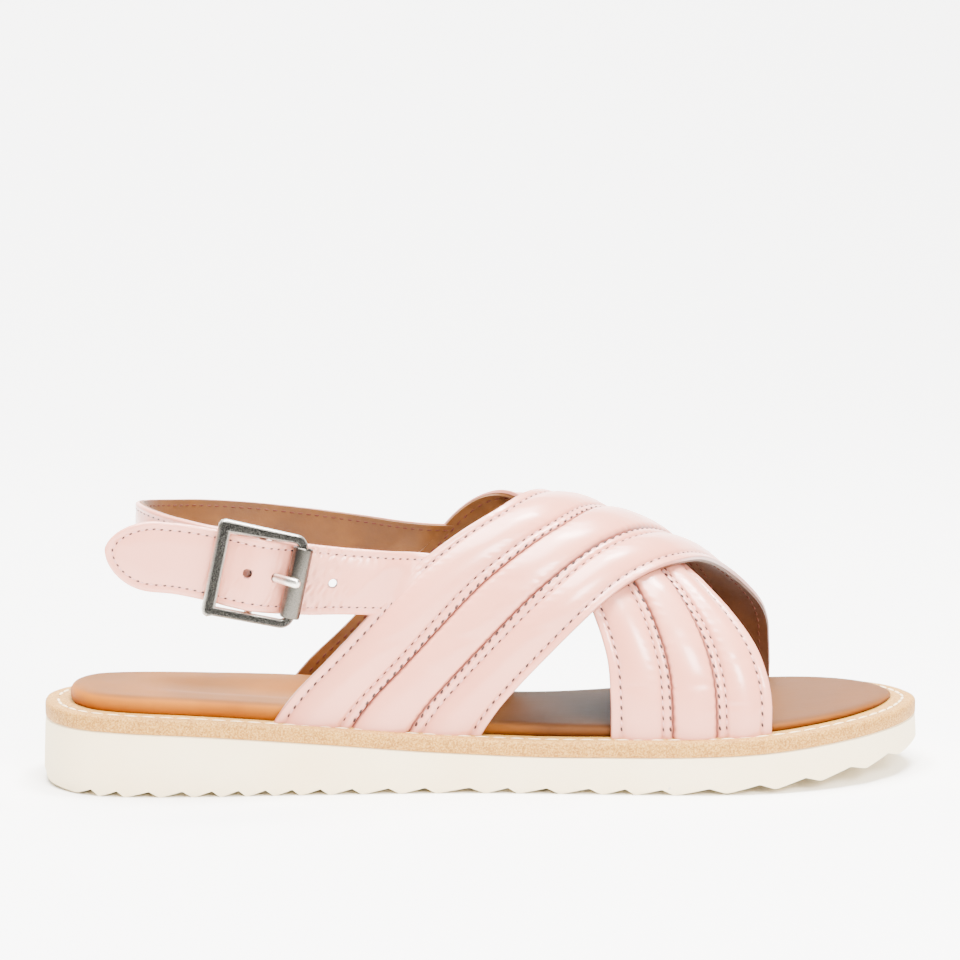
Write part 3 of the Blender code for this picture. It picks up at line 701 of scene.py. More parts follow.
def footbed_cushion():
    fine = np.arange(0, FOOTBED_SECTION[-1][0] + 0.01, 0.5)
    insets, shares = read(FOOTBED_SECTION, 1, fine), read(FOOTBED_SECTION, 2, fine)

    def height(x, y, share):
        rim = read(LAYERS, FOOTBED_RIM, x) + read(LAYERS, ARCH_RISE, x) * smooth_step((y + 4) / 26)
        return welt_top(x) + rim * share

    work = ring_wall(
        len(fine) - 1,
        lambda level: FOOTBED_INSET + insets[level],
        lambda level, x, y: height(x, y, shares[level]),
    )
    top_edges = max(
        lace_open_rings(work), key=lambda edges: np.mean([edge.verts[0].co.z for edge in edges])
    )
    across = [edge for edge in top_edges if abs(edge.verts[0].co.y - edge.verts[1].co.y) > 8]
    made = bmesh.ops.subdivide_edges(work, edges=across, cuts=11, use_grid_fill=True)
    added = [part for part in made["geom_inner"] if isinstance(part, bmesh.types.BMVert)]
    x, y, _ = np.array([vertex.co for vertex in added]).T
    low, high = (np.interp(x, *side.T) for side in (CURVE[: TOE_INDEX + 1], CURVE[TOE_INDEX:][::-1]))
    inside_by = np.minimum(y - low, high - y) - FOOTBED_INSET - FOOTBED_SECTION[-1][1]
    sink = HEEL_DISH * smooth_step(inside_by / 12) * (1 - smooth_step((x - 60) / 90))
    sink *= smooth_step((x - FOOTBED_INSET - 16) / 24)
    for vertex, z in zip(added, height(x, y, 1.0) - sink):
        vertex.co.z = z
    return work


finish_piece("leather_welt", welt_plate(), natural, ["welt"], sharp=50)
finish_piece("cushioned_footbed", footbed_cushion(), cover, ["footbed"], sharp=60)

# %% [markdown]
# ## Threads as solids
# A sewn stitch is a short bead of thread that dips into the leather at both ends. Each one is a
# small sphere, drawn out along the seam and pressed flat, and set down on the face of the
# leather with a matrix of its own directions.

# %% Stitches
def beads(work, centres, runs, normals, size, slant=0.0, sink=0.0, material=0):
    """Adds a bead at each place of a seam. size is its length, width and height in mm."""
    few = bmesh.new()
    for number, (centre, run, normal) in enumerate(zip(centres, runs, normals), 1):
        normal = Vector(normal)
        run = Matrix.Rotation(math.radians(slant), 3, normal) @ Vector(run).normalized()
        sizes = (run * size[0] / 2, normal.cross(run) * size[1] / 2, normal * size[2] / 2)
        at = Matrix.Translation(Vector(centre) - normal * sink) @ Matrix(sizes).transposed().to_4x4()
        bmesh.ops.create_uvsphere(few, u_segments=8, v_segments=6, radius=1, matrix=at)
        if number % 16 == 0 or number == len(centres):
            for face in few.faces:
                face.material_index = material
            take_in(work, few)
            few = bmesh.new()
    few.free()


def take_in(work, other):
    """Moves the faces of one bmesh into another. Beads are made a few at a time and then taken
    in, because an operator looks at every vertex that its bmesh already has."""
    mesh = bpy.data.meshes.new("part")
    other.to_mesh(mesh)
    other.free()
    work.from_mesh(mesh)
    bpy.data.meshes.remove(mesh)


def spaced(path, pitch, start=0.5):
    """Places at an even pitch along a path, as positions in its own list of points."""
    length = running_length(path)
    count = int(length[-1] / pitch - start)
    return np.interp((np.arange(count) + start) * pitch, length, np.arange(len(path)))


def at_positions(rows, positions):
    """Rows of a table of points, read between their indices."""
    low = np.clip(positions.astype(int), 0, len(rows) - 2)
    return blend(rows[low], rows[low + 1], (positions - low)[:, None])


WELT_ROW = 3.9
WELT_PITCH = 5.1
WELT_STITCHES = (
    # place in the pitch, bead's length, width and height, sink, finish
    (0.5, (4.5, 0.95, 0.75), 0.0, 0),
    # the needle hole: a dark bead of painted shade
    (1.0, (0.9, 0.8, 0.5), 0.12, 1),
)


def welt_seam():
    work = bmesh.new()
    turns = np.linspace(0, 1, 2400)
    path = around(turns, np.full(len(turns), WELT_ROW))
    path = np.column_stack([path, welt_top(path[:, 0]) - 0.28])
    for start, size, sink, finish in WELT_STITCHES:
        spots = spaced(path, WELT_PITCH, start)
        here = at_positions(path, spots)
        run = unit(at_positions(np.roll(path, -4, 0), spots) - here)
        beads(work, here, run, [(0, 0, 1)] * len(here), size, sink=sink, material=finish)
    return work


finish_piece("welt_seam", welt_seam(), [cream_thread, needle_hole_shade])

# %% [markdown]
# ## The cross straps
# Each strap is a sandwich of upper leather, foam and lining. Seams along it divide the foam
# into three channels, and two seams side by side leave a flat band between the channels. The
# middle channel is stuffed hardest, so it stands up with steep sides. The lower strap is
# pressed flat where the upper one crosses it, and the upper one rides over it.

# %% Strap sizes
OVER_STRAP = (
    # turn, rear edge, front edge
    (0, 65.9, 126.2),
    (10, 81.0, 137.6),
    (20, 92.6, 147.8),
    (35, 106.5, 161.5),
    (50, 120.6, 174.0),
    (65, 133.4, 185.4),
    (80, 142.4, 195.0),
    (95, 149.8, 204.4),
    (110, 157.4, 213.4),
    (125, 164.5, 219.8),
    (140, 171.6, 223.0),
    (155, 175.5, 224.2),
    (168, 177.5, 224.8),
    (180, 178.0, 225.2),
)
UNDER_STRAP = (
    # turn, rear edge, front edge
    (0, 163.5, 210.3),
    (10, 163.6, 210.1),
    (20, 162.7, 209.3),
    (35, 158.6, 206.5),
    (50, 153.5, 200.9),
    (65, 149.2, 193.6),
    (80, 144.6, 187.8),
    (95, 138.2, 183.6),
    (110, 130.9, 179.8),
    (125, 123.8, 175.0),
    (140, 115.8, 168.5),
    (155, 103.0, 161.0),
    (168, 89.4, 151.5),
    (180, 72.0, 139.0),
)
REAR, FRONT = 1, 2
FACE_BASE, LINING_TOP = 2.0, 0.95
VALLEYS = ((0.318, 0.378), (0.652, 0.712))
EDGE_ROW = 3.0
STITCH_PITCH = 2.9
CHANNEL_RISES = (1.35, 1.75, 1.3)
CHANNEL_POWERS = ((0.8, 0.75), (0.42, 0.45), (0.75, 0.8))
SEAM_DEPTHS = (0.3, 0.3, 0.85, 0.7, 0.3, 0.3)
DEEP_SIDES = {2: 1, 3: -1}
BAND_SWELL = 0.12
FLAT_RIM = 3.4
# A stitch draws the leather down at the seam, sideways in the two deep seams, and in small
# folds that fan out beside it.
SEAM_REACH, STITCH_DIP, SCALLOP = 0.62, 0.12, 0.22
FAN_PLACE, FAN_REACH, FAN_DEPTH = 1.9, 1.3, 0.08
CROSSING_LIFT, LIFT_REACH = 3.6, 55.0
PRESSED, PRESS_REACH = 0.87, 7.0
TURNS = np.linspace(0, 180, 1441)
luck = np.random.default_rng(12)


def edges_of(strap, turn):
    return read(strap, REAR, turn), read(strap, FRONT, turn)


def inside(strap, along, turn):
    rear, front = edges_of(strap, turn)
    return np.minimum(along - rear, front - along)

def place_along(strap, turn, share):
    """How far along the shoe a share of a strap's width lies."""
    return blend(*edges_of(strap, turn), share)


def seam_share(strap, row, turn):
    """The share of the strap's width at which a row of stitches runs."""
    rear, front = edges_of(strap, turn)
    edge = EDGE_ROW / (front - rear)
    if row in (0, 5):
        return edge if row == 0 else 1 - edge
    return np.full_like(turn, VALLEYS[(row - 1) // 2][(row - 1) % 2])


def measured_seams(strap):
    """For each seam: its length up to each turn, and how hard each of its stitches pulls."""
    found = []
    for row in range(6):
        path = last_point(place_along(strap, TURNS, seam_share(strap, row, TURNS)), TURNS)
        found.append((running_length(path), luck.uniform(0.45, 1.35, 120)))
    return found


STRAPS = {"over": OVER_STRAP, "under": UNDER_STRAP}
SEAMS = {name: measured_seams(strap) for name, strap in STRAPS.items()}
print("seams:", {name: [round(float(row[0][-1])) for row in rows] for name, rows in SEAMS.items()})

# %% [markdown]
# ## Creases placed one by one
# Leather that has been pulled over a last keeps soft folds where it turns. They sit at the foot
# of each strap, where the last makes it drop steeply to the welt, and beside the crossing. Each
# is a long shallow trough or ridge with its own place, direction, length, width and depth.

# %% Creases
CREASES = {
    "over": (
        # turn, share, direction, half length, half width, height in mm
        (16, 0.20, 62, 7, 1.6, -0.18),
        (19, 0.52, 75, 8, 1.8, -0.20),
        (24, 0.82, 70, 6, 1.5, -0.15),
        (11, 0.62, 84, 7, 1.3, -0.18),
        (37, 0.50, 78, 7, 2.2, -0.12),
        (62, 0.80, 60, 6, 1.6, -0.12),
        (118, 0.50, 82, 8, 2.0, -0.18),
        (140, 0.25, 75, 7, 1.7, -0.18),
        (150, 0.70, 80, 7, 1.8, -0.18),
        (164, 0.45, 86, 8, 1.6, -0.18),
    ),
    "under": (
        (12, 0.20, 84, 6, 1.5, -0.15),
        (15, 0.52, 80, 7, 1.9, -0.20),
        (9, 0.83, 88, 6, 1.4, -0.15),
        (30, 0.48, 76, 7, 2.3, -0.12),
        (27, 0.84, 70, 5, 1.6, -0.12),
        (43, 0.80, 66, 6, 2.0, -0.12),
        (128, 0.30, 100, 7, 2.0, -0.18),
        (150, 0.60, 98, 8, 1.9, -0.20),
        (163, 0.25, 94, 7, 1.6, -0.18),
    ),
}


def crease_height(name, turn, share, width):
    total = np.zeros_like(turn)
    for at, middle, direction, length, breadth, height in CREASES[name]:
        along, across = (turn - at) * 1.05, (share - middle) * width
        a = math.radians(direction)
        with_it = along * math.cos(a) + across * math.sin(a)
        beside = -along * math.sin(a) + across * math.cos(a) + 0.035 * with_it**2 / 2
        total += height * np.exp(-((with_it / length) ** 2) - (beside / breadth) ** 2)
    return total

# %% [markdown]
# ## The padded face
# The height of the leather over its lining is a sum: three stuffed channels, the creases, the
# flat bands between the channels, a furrow at each seam with its stitches' small pulls, and the
# rounding of the cut edge. The same seams say where shade is painted dark into the leather.

# %% Heights of the padding
def bell(distance):
    return np.exp(-(distance**2))


def rounded_edge(rim, drop, reach):
    """How far a face falls towards a cut edge, at a distance from it."""
    return drop * (1 - np.sqrt(np.clip(1 - np.clip(1 - rim / reach, 0, 1) ** 2, 0, 1)))


def stitched_rows(name, turn, share):
    """For each seam: how far a place lies beside it and beside its scalloped furrow, and how
    near a stitch it is and how hard that stitch pulls."""
    rear, front = edges_of(STRAPS[name], turn)
    width = front - rear
    for row, (length, pull) in enumerate(SEAMS[name]):
        beside = share * width - seam_share(STRAPS[name], row, turn) * width
        stitch = np.interp(turn, TURNS, length) / STITCH_PITCH
        pulled = np.interp(stitch, np.arange(len(pull)), pull)
        beat = 0.5 + 0.5 * np.cos(math.tau * stitch)
        yield row, beside, beside - SCALLOP * beat * pulled * DEEP_SIDES.get(row, 0), beat, pulled


def face_height(name, turn, share):
    """The height of a strap's face above its lining's foot, before anything presses on it."""
    rear, front = edges_of(STRAPS[name], turn)
    width = front - rear
    starts = (FLAT_RIM / width, VALLEYS[0][1], VALLEYS[1][1])
    ends = (VALLEYS[0][0], VALLEYS[1][0], 1 - FLAT_RIM / width)
    stuffed = np.zeros_like(turn)
    for start, end, rise, (first, last) in zip(starts, ends, CHANNEL_RISES, CHANNEL_POWERS):
        t = np.clip((share - start) / (end - start), 0, 1)
        stuffed += rise * np.abs(np.sin(np.pi * t)) ** blend(first, last, smooth_step(t))
    creases = crease_height(name, turn, share, width) * np.clip(stuffed / 1.2, 0, 1)
    height = FACE_BASE + (stuffed + creases)
    for start, end in VALLEYS:
        height += BAND_SWELL * np.sin(np.pi * np.clip((share - start) / (end - start), 0, 1))
    for row, beside, furrow, beat, pulled in stitched_rows(name, turn, share):
        height -= (SEAM_DEPTHS[row] + STITCH_DIP * beat * pulled) * bell(furrow / SEAM_REACH)
        fan = bell((np.abs(beside) - FAN_PLACE) / FAN_REACH) * (1 if 0 < row < 5 else 0.6)
        height -= FAN_DEPTH * pulled * (beat - 0.35) * fan
    rim = np.minimum(share * width, width - share * width)
    return height - rounded_edge(rim, 0.4, 0.5)


def painted_groove_shade(name, turn, share):
    """How much shade is painted into the leather: most in the seams beside the middle channel,
    less in the others, and along the raw edge."""
    rear, front = edges_of(STRAPS[name], turn)
    width = front - rear
    dark = 0.5 * bell(np.minimum(share * width, width - share * width) / 0.3)
    for row, _, furrow, _, _ in stitched_rows(name, turn, share):
        strength, reach = (0.9, 0.42) if row in DEEP_SIDES else (0.22, 0.5)
        dark += strength * bell(furrow / reach)
    return np.clip(dark, 0, 1)


def stand_off(name, along, turn, height):
    """How far a layer of a strap stands off the last, pressed or lifted at the crossing."""
    if name == "over":
        near = smooth_step(1 + inside(UNDER_STRAP, along, turn) / LIFT_REACH)
        return height + CROSSING_LIFT * off_the_welt(turn, 35) * near
    pressed = smooth_step(1.15 + inside(OVER_STRAP, along, turn) / PRESS_REACH)
    return blend(height, height * PRESSED, pressed)


def on_strap(name, turn, share, height):
    """Points of a strap at a turn and a share of its width. Its ends reach into the welt."""
    along = place_along(STRAPS[name], turn, share)
    at = last_point(along, turn)
    at[:, 2] -= 0.6 * (1 - off_the_welt(turn, 6))
    return at + last_normal(along, turn) * stand_off(name, along, turn, height)[:, None]


# %% [markdown]
# ## Sheets for the cross straps
# A furrow is a millimetre wide on a strap of fifty, so the sheet's columns crowd at every seam
# and stay there however wide the strap is. The lining needs few, because it is smooth.

# %% Columns and sheets
RIM_MARKS = (0, 0.05, 0.12, 0.22, 0.36, 0.52, 0.68, 0.82, 0.92)
CHANNEL_MARKS = (
    0, 0.02, 0.045, 0.075, 0.11, 0.155, 0.21, 0.275, 0.35, 0.43, 0.51, 0.59, 0.67, 0.74, 0.80,
    0.85, 0.89, 0.925, 0.955, 0.98,
)
BAND_MARKS = (0, 0.1, 0.22, 0.36, 0.5, 0.64, 0.78, 0.9)
COLUMN_MARKS = np.concatenate(
    [part + np.array(marks) for part, marks in enumerate((
        RIM_MARKS, CHANNEL_MARKS, BAND_MARKS, CHANNEL_MARKS, BAND_MARKS, CHANNEL_MARKS,
        [1 - mark for mark in RIM_MARKS[:0:-1]],
    ))] + [[7.0]]
)


def share_at(strap, turn, across):
    """The share of a strap's width for each column, with many columns near every seam."""
    mark = np.interp(across * (len(COLUMN_MARKS) - 1), np.arange(len(COLUMN_MARKS)), COLUMN_MARKS)
    part = np.clip(mark.astype(int), 0, 6)
    stops = np.stack([
        np.zeros_like(turn), *(seam_share(strap, row, turn) for row in range(6)), np.ones_like(turn)
    ])
    every = np.arange(len(turn))
    return blend(stops[part, every], stops[part + 1, every], mark - part)


def strap_face(name):
    def where(across, run, layer):
        turn = 180 * run
        share = share_at(STRAPS[name], turn, across)
        top = face_height(name, turn, share)
        return on_strap(name, turn, share, blend(LINING_TOP - 0.1, top, layer))

    def tint(across, run, layer):
        return painted_groove_shade(name, 180 * run, share_at(STRAPS[name], 180 * run, across))

    return place(flat_sheet(len(COLUMN_MARKS) - 1, 420), where, tint)


def strap_lining(name):
    def where(across, run, layer):
        rear, front = edges_of(STRAPS[name], 180 * run)
        inset = 0.22 / (front - rear)
        share = blend(inset, 1 - inset, blend(across, smooth_step(across), 0.5))
        return on_strap(name, 180 * run, share, LINING_TOP * layer)

    return place(flat_sheet(30, 150), where)


# %% [markdown]
# ## Threads of the cross straps
# Every stitch has two beads: the pink upper thread that lies on the leather, and a dark bead
# of painted shade for the needle hole. In the two deep seams they lie on the furrow's outer
# wall, where the needle can reach. What the other strap hides isn't sewn.

# %% Threads of the cross straps
THREAD_ASIDE = 0.75
STRAP_STITCHES = (
    # place in the pitch, bead's length, width and height, slant, sink, finish
    (0.5, (1.6, 0.7, 0.5), 5, 0.04, 0),
    # the needle hole: a dark bead of painted shade
    (0.0, (1.45, 0.74, 0.56), 16, 0.0, 1),
)


def stitch_turns(length, offset=0.0):
    marks = np.arange(1, length[-1] / STITCH_PITCH - 0.5)
    return np.interp((marks + offset) * STITCH_PITCH, length, TURNS)


def strap_threads(name):
    """Both threads of the six seams, leaving out what the upper strap covers."""
    work = bmesh.new()
    for row, (length, _) in enumerate(SEAMS[name]):
        for offset, size, slant, sink, finish in STRAP_STITCHES:
            turn = stitch_turns(length, offset)
            rear, front = edges_of(STRAPS[name], turn)
            aside = THREAD_ASIDE * DEEP_SIDES.get(row, 0) / (front - rear)
            share = seam_share(STRAPS[name], row, turn) - aside
            if name == "under":
                shown = inside(OVER_STRAP, place_along(UNDER_STRAP, turn, share), turn) < 2
                turn, share = turn[shown], share[shown]
            height = face_height(name, turn, share)
            centres = on_strap(name, turn, share, height)
            run = unit(on_strap(name, turn + 0.2, share, height) - centres)
            normals = last_normal(place_along(STRAPS[name], turn, share), turn)
            beads(work, centres, run, normals, size, slant, sink, finish)
    return work


def lining_threads(name):
    work = bmesh.new()
    for row, (length, _) in enumerate(SEAMS[name]):
        turn = stitch_turns(length)
        share = seam_share(STRAPS[name], row, turn)
        if name == "over":
            shown = inside(UNDER_STRAP, place_along(OVER_STRAP, turn, share), turn) < 1
            turn, share = turn[shown], share[shown]
        level = np.zeros_like(turn)
        centres = on_strap(name, turn, share, level)
        ahead = on_strap(name, turn + 0.2, seam_share(STRAPS[name], row, turn + 0.2), level)
        normals = -last_normal(place_along(STRAPS[name], turn, share), turn)
        beads(work, centres, unit(ahead - centres), normals, (1.9, 0.6, 0.4), 6)
    return work


for name in ("over", "under"):
    finish_piece(f"{name}_strap_face", strap_face(name), pink, ["upper"], sharp=70)
    finish_piece(f"{name}_strap_lining", strap_lining(name), tan, sharp=60)
    finish_piece(f"{name}_strap_threads", strap_threads(name), [pink_thread, needle_hole_shade])
    finish_piece(f"{name}_lining_threads", lining_threads(name), brown_thread)

# %% [markdown]
# ## The ankle strap
# The strap is in two parts: a long one that comes round the heel and folds round the buckle's
# centre bar, and a short one with a rounded tip and punched holes. Both are a pink face glued
# to a tan lining and sewn along the edges, so the edge is a little thinner than the middle.
# They run along a smooth line, and every point is found from how far it is along that line.

# %% Ankle strap: the lines it follows
BUCKLE_PLACE = (61.0, -36.0, 64.8)
BUCKLE_DROP, BUCKLE_TOE_IN = 12.0, 2.0
BILLET = (
    # buckle x, buckle y, buckle z, half width, lean
    (-43.8, 3.4, -1.0, 10.4, 0),
    (-32.0, 3.1, -0.8, 10.2, 0),
    (-22.0, 3.0, 0.1, 10.2, 0),
    (-11.7, 3.1, 0.1, 10.4, 0),
    (-6.0, 0.9, 0.0, 10.5, 0),
    (0.0, -0.5, 0.0, 10.5, 0),
    (6.0, 2.0, 0.2, 10.5, 0),
    (11.7, 4.7, 0.6, 10.4, 0),
    (17.0, 5.0, 1.2, 10.2, -2),
    (25.0, 5.3, 2.3, 9.7, -6),
    (34.0, 6.0, 3.2, 9.7, -11),
    (42.0, 7.7, 3.9, 9.7, -15),
    (52.0, 10.6, 4.8, 9.7, -18),
)
SLING = (
    # along, across, height, half width, lean
    (59.4, -31.3, 66.3, 10.0, 0),
    (54.5, -30.8, 67.4, 10.0, 0),
    (48.5, -30.4, 68.5, 10.0, 0),
    (42.5, -26.5, 69.5, 10.0, 0),
    (36.0, -19.5, 70.5, 10.0, 0),
    (30.6, -10.0, 71.6, 10.0, -1),
    (28.6, 0.0, 72.2, 10.0, -2),
    (31.2, 10.5, 71.4, 10.0, -1),
    (37.5, 19.5, 70.4, 10.0, 0),
    (48.0, 26.8, 69.4, 10.0, 0),
    (63.0, 30.3, 67.9, 10.0, 0),
    (80.0, 30.6, 65.9, 10.0, 3),
    (96.0, 28.0, 64.1, 10.0, 8),
    (108.0, 24.2, 62.9, 10.0, 13),
    (118.0, 20.3, 62.3, 10.0, 15),
    (127.0, 16.2, 61.7, 10.0, 16),
)
BILLET_HOLES = (-2.8, 4.4, 13.9, 22.6)
HOLE_RADIUS, HOLE_RISE = 1.25, 0.045
TIP_LENGTH = 14.5
SEW_IN = 4.0
seat = (
    Matrix.Translation(BUCKLE_PLACE)
    @ Matrix.Rotation(math.radians(BUCKLE_TOE_IN), 4, "Z")
    @ Matrix.Rotation(math.radians(BUCKLE_DROP), 4, "Y")
)


def ribbon_line(rows, outward, move=None, steps=60):
    """A strap's middle line, with its own directions at many places along it."""
    marks = np.array(rows, float)
    marks = np.vstack([2 * marks[0] - marks[1], marks, 2 * marks[-1] - marks[-2]])
    a, b, c, d = marks[:-3, None], marks[1:-2, None], marks[2:-1, None], marks[3:, None]
    t = np.arange(steps)[None, :, None] / steps
    path = through(a, b, c, d, t)
    path = np.vstack([path.reshape(-1, marks.shape[1]), marks[-2]])
    centre = path[:, :3]
    along = unit(np.gradient(centre, axis=0))
    up = unit(np.array([0, 0, 1.0]) - along * along[:, 2:3])
    face = np.cross(up, along)
    lean = np.radians(path[:, 4:5])
    up, face = (one * np.cos(lean) + np.cross(along, one) * np.sin(lean) for one in (up, face))
    length = running_length(centre)
    if move is not None:
        turn = np.array(move.to_3x3())
        centre = centre @ turn.T + np.array(move.translation)
        along, up, face = (one @ turn.T for one in (along, up, face))
    return length, np.hstack([centre, along, up, face * outward, path[:, 3:4]])


def along_ribbon(line, run, height, off):
    """Points at a run along a strap, a height in mm from its middle and an offset outwards."""
    length, rows = line
    spot = np.interp(run, length, np.arange(len(length)))
    here = at_positions(rows, spot)
    return here[:, :3] + here[:, 6:9] * height[:, None] + here[:, 9:12] * off[:, None]


def half_width(line, run, tip=0.0):
    half = np.interp(run, line[0], line[1][:, 12])
    if tip:
        half = half * (1 - (1 - np.clip(run / tip, 0, 1)) ** 1.9) ** 0.6
    return half


def last_turn(points):
    """The turn round the last at which points lie."""
    low = welt_top(points[:, 0]) + MEETING_GAP
    rise = read(RIDGE, 1, points[:, 0]) - low
    sine = np.clip((points[:, 2] - low) / rise, 0, 1) ** (SECTION_POWER / 2)
    turn = np.degrees(np.arcsin(sine))
    return np.where(points[:, 1] < read(RIDGE, 2, points[:, 0]), turn, 180 - turn)


def sewn_end(line, strap, first, heights):
    """For each height of a strap: how far it runs until it's sewn in under a cross strap."""
    ends = []
    runs = np.linspace(first, line[0][-1], 400)
    for height in heights:
        points = along_ribbon(line, runs, np.full(400, height), np.zeros(400))
        deep = inside(strap, points[:, 0], last_turn(points)) > SEW_IN
        ends.append(runs[deep.argmax()] if deep.any() else runs[-1])
    return np.array(ends)


billet_line = ribbon_line(BILLET, -1, seat)
sling_line = ribbon_line(SLING, 1)
HEIGHTS = np.linspace(-10.2, 10.2, 41)
billet_ends = sewn_end(billet_line, OVER_STRAP, 60, HEIGHTS)
sling_ends = sewn_end(sling_line, UNDER_STRAP, 120, HEIGHTS)
print("billet length", billet_ends.min().round(1), "to", billet_ends.max().round(1), "mm")
print("sling length", sling_ends.min().round(1), "to", sling_ends.max().round(1), "mm")

# %% [markdown]
# ## The ankle strap's leather
# The face leather bulges slightly between its two seams and thins towards the cut edge. Where
# the short part bends under and over the buckle's bars it wrinkles finely, and each seam draws
# the leather down at every stitch.

# %% Ankle strap: faces and linings
STRAP_PITCH, SLING_PITCH = 2.42, 2.6
SEAM_IN, SLING_SEAM_IN = 2.2, 1.8
LINING_IN = 0.15
TIP_POWER = 1.7
LANDING = 15.0
BILLET_FOLDS = (
    # place along the strap, reach, depth
    (31.0, 3.0, 0.1), (37.5, 3.0, 0.08), (50.0, 3.0, 0.1), (61.5, 6.0, 0.34), (68.5, 6.0, 0.22),
)
SLING_FOLDS = ((13.0, 5.0, 0.1), (26.0, 7.0, 0.09), (62.0, 9.0, 0.07))
Ribbon = namedtuple("Ribbon", "line ends thickness tip folds depth")
billet = Ribbon(billet_line, billet_ends, 2.0, TIP_LENGTH, BILLET_FOLDS, 0.7)
sling = Ribbon(sling_line, sling_ends, 2.2, 0, SLING_FOLDS, 1.2)


def wrinkles(run, height, folds):
    """Fine folds across a strap near a bar, strongest at the bar and fading within a few mm."""
    total = np.zeros_like(run)
    for place_at, reach, depth in folds:
        wave = run + 0.6 * np.sin(height * 0.55 + place_at) + 0.35 * np.sin(height * 1.3)
        patchy = np.clip(0.35 + 0.65 * np.sin(height * 0.9 + 1.7 * run), 0, 1)
        total += depth * bell((run - place_at) / reach) * np.sin(wave * 3.7) * patchy
    return total


def sheet_height(strap, run, height, pitch=STRAP_PITCH):
    """How far the face of an ankle strap stands off its middle."""
    half = half_width(strap.line, run, strap.tip)
    rim = np.minimum(half - np.abs(height), run if strap.tip else half)
    out = strap.thickness / 2 + 0.22 * smooth_step((rim - SEAM_IN) / 4)
    beat = 0.5 + 0.5 * np.cos(math.tau * run / pitch)
    out -= (0.16 + 0.08 * beat) * bell((rim - SEAM_IN) / 0.7)
    out -= 0.06 * beat * bell((rim - SEAM_IN - 1.3) / 1.1)
    return out - rounded_edge(rim, 0.65, 0.85) + wrinkles(run, height, strap.folds)


def laid(strap, run, height, off):
    """Points of a strap. Its last few millimetres land on the last, at a depth between the
    cross strap's two leathers."""
    end = np.interp(height, HEIGHTS, strap.ends)
    free = along_ribbon(strap.line, run, height, off)
    flat = along_ribbon(strap.line, run, height, np.zeros(len(run)))
    turn = last_turn(flat)
    landed = last_point(flat[:, 0], turn) + last_normal(flat[:, 0], turn) * (off + strap.depth)[:, None]
    return blend(free, landed, smooth_step(1 - (end - run) / LANDING)[:, None])


def face_layer(strap, run, height):
    return np.full_like(run, -0.05), sheet_height(strap, run, height)


def lining_layer(strap, run, height):
    return np.full_like(run, -strap.thickness / 2), np.zeros_like(run)


def ribbon_sheet(strap, columns, rows, layer_of, edge_in=0.0):
    """One leather of an ankle strap. Its rows crowd towards a rounded tip."""
    from_tip = edge_in if strap.tip else 0

    def where(across, run, layer):
        height = blend(across, smooth_step(across), 0.55) * 2 - 1
        end = np.interp(height * 10, HEIGHTS, strap.ends)
        runs = end * (run ** (TIP_POWER if strap.tip else 1)) + from_tip
        half = half_width(strap.line, runs - from_tip, strap.tip)
        up = height * np.clip(half - edge_in, 0.01, None)
        below, above = layer_of(strap, runs, up)
        return laid(strap, runs, up, blend(below, above, layer))

    return place(flat_sheet(columns, rows), where)


# %% [markdown]
# ## Punched holes
# Each hole is punched straight through both leathers, and the one that the prong goes through
# lies along the prong. The walls of the holes are painted dark, both for the leather's dark core
# and for the shade inside the hole.

# %% Holes of the billet
PRONG_UP = 0.3
PRONG_HOLE = 1
prong_start = Vector((2.7, 3.0, PRONG_UP))
prong_run = (Vector((9.2, -3.2, PRONG_UP)) - prong_start).normalized()
holes = []
for number, at in enumerate(BILLET_HOLES):
    middle = Vector((at, float(read(BILLET, 1, at)), PRONG_UP + HOLE_RISE * at))
    direction = Vector((0, 1, 0))
    if number == PRONG_HOLE:
        middle, direction = prong_start + prong_run * (at - prong_start.x) / prong_run.x, prong_run
    holes.append((seat @ middle, seat.to_3x3() @ direction))


def darkened(work, reach):
    """Fills the groove layer with painted shade on the walls of the holes and on what lies right
    under them.
    """
    layer = work.verts.layers.float.get("groove") or work.verts.layers.float.new("groove")
    for middle, direction in holes:
        for vert in work.verts:
            arm = vert.co - middle
            if arm.cross(direction.normalized()).length < reach and arm.length < 8:
                vert[layer] = 1.0
    return work


def punched(work):
    """Cuts the billet's holes, each along its own direction."""
    for middle, direction in holes:
        punch = bmesh.new()
        turn = Vector((0, 0, 1)).rotation_difference(direction).to_matrix().to_4x4()
        bmesh.ops.create_cone(
            punch, cap_ends=True, segments=28, radius1=HOLE_RADIUS, radius2=HOLE_RADIUS, depth=12,
            matrix=Matrix.Translation(middle) @ turn,
        )
        work = boolean(work, punch, "DIFFERENCE")
    return darkened(work, HOLE_RADIUS + 0.05)


# %% [markdown]
# ## Seams of the ankle strap
# One seam runs along each edge, and on the short part a single seam goes round the tip. The
# face shows pink thread with painted shade at its needle holes, and the lining side shows the
# bobbin thread.

# %% Ankle strap: seams and threads
def seam_path(strap, inset, first=0.0, edge_sign=-1):
    """The line of a seam as runs and heights, along one edge or round the tip to both."""
    run = np.linspace(first + 0.001, 1, 4000) ** (TIP_POWER if strap.tip else 1)
    sides = []
    for sign in (-1, 1):
        runs = run * float(np.interp(sign * 8, HEIGHTS, strap.ends))
        sides.append(np.column_stack([runs, sign * half_width(strap.line, runs, strap.tip)]))
    if not strap.tip:
        return sides[edge_sign > 0] - np.array([0, edge_sign * inset])
    edge = np.vstack([sides[0][::-1], sides[1]])
    tangent = unit(np.gradient(edge, axis=0))
    inward = np.column_stack([-tangent[:, 1], tangent[:, 0]])
    inward *= np.sign(inward[0] @ np.array([0, 1]))
    moved = edge + inward * inset
    within = np.abs(moved[:, 1]) <= half_width(strap.line, np.clip(moved[:, 0], 0, None), strap.tip)
    return moved[within & (moved[:, 0] > inset * 0.9)]


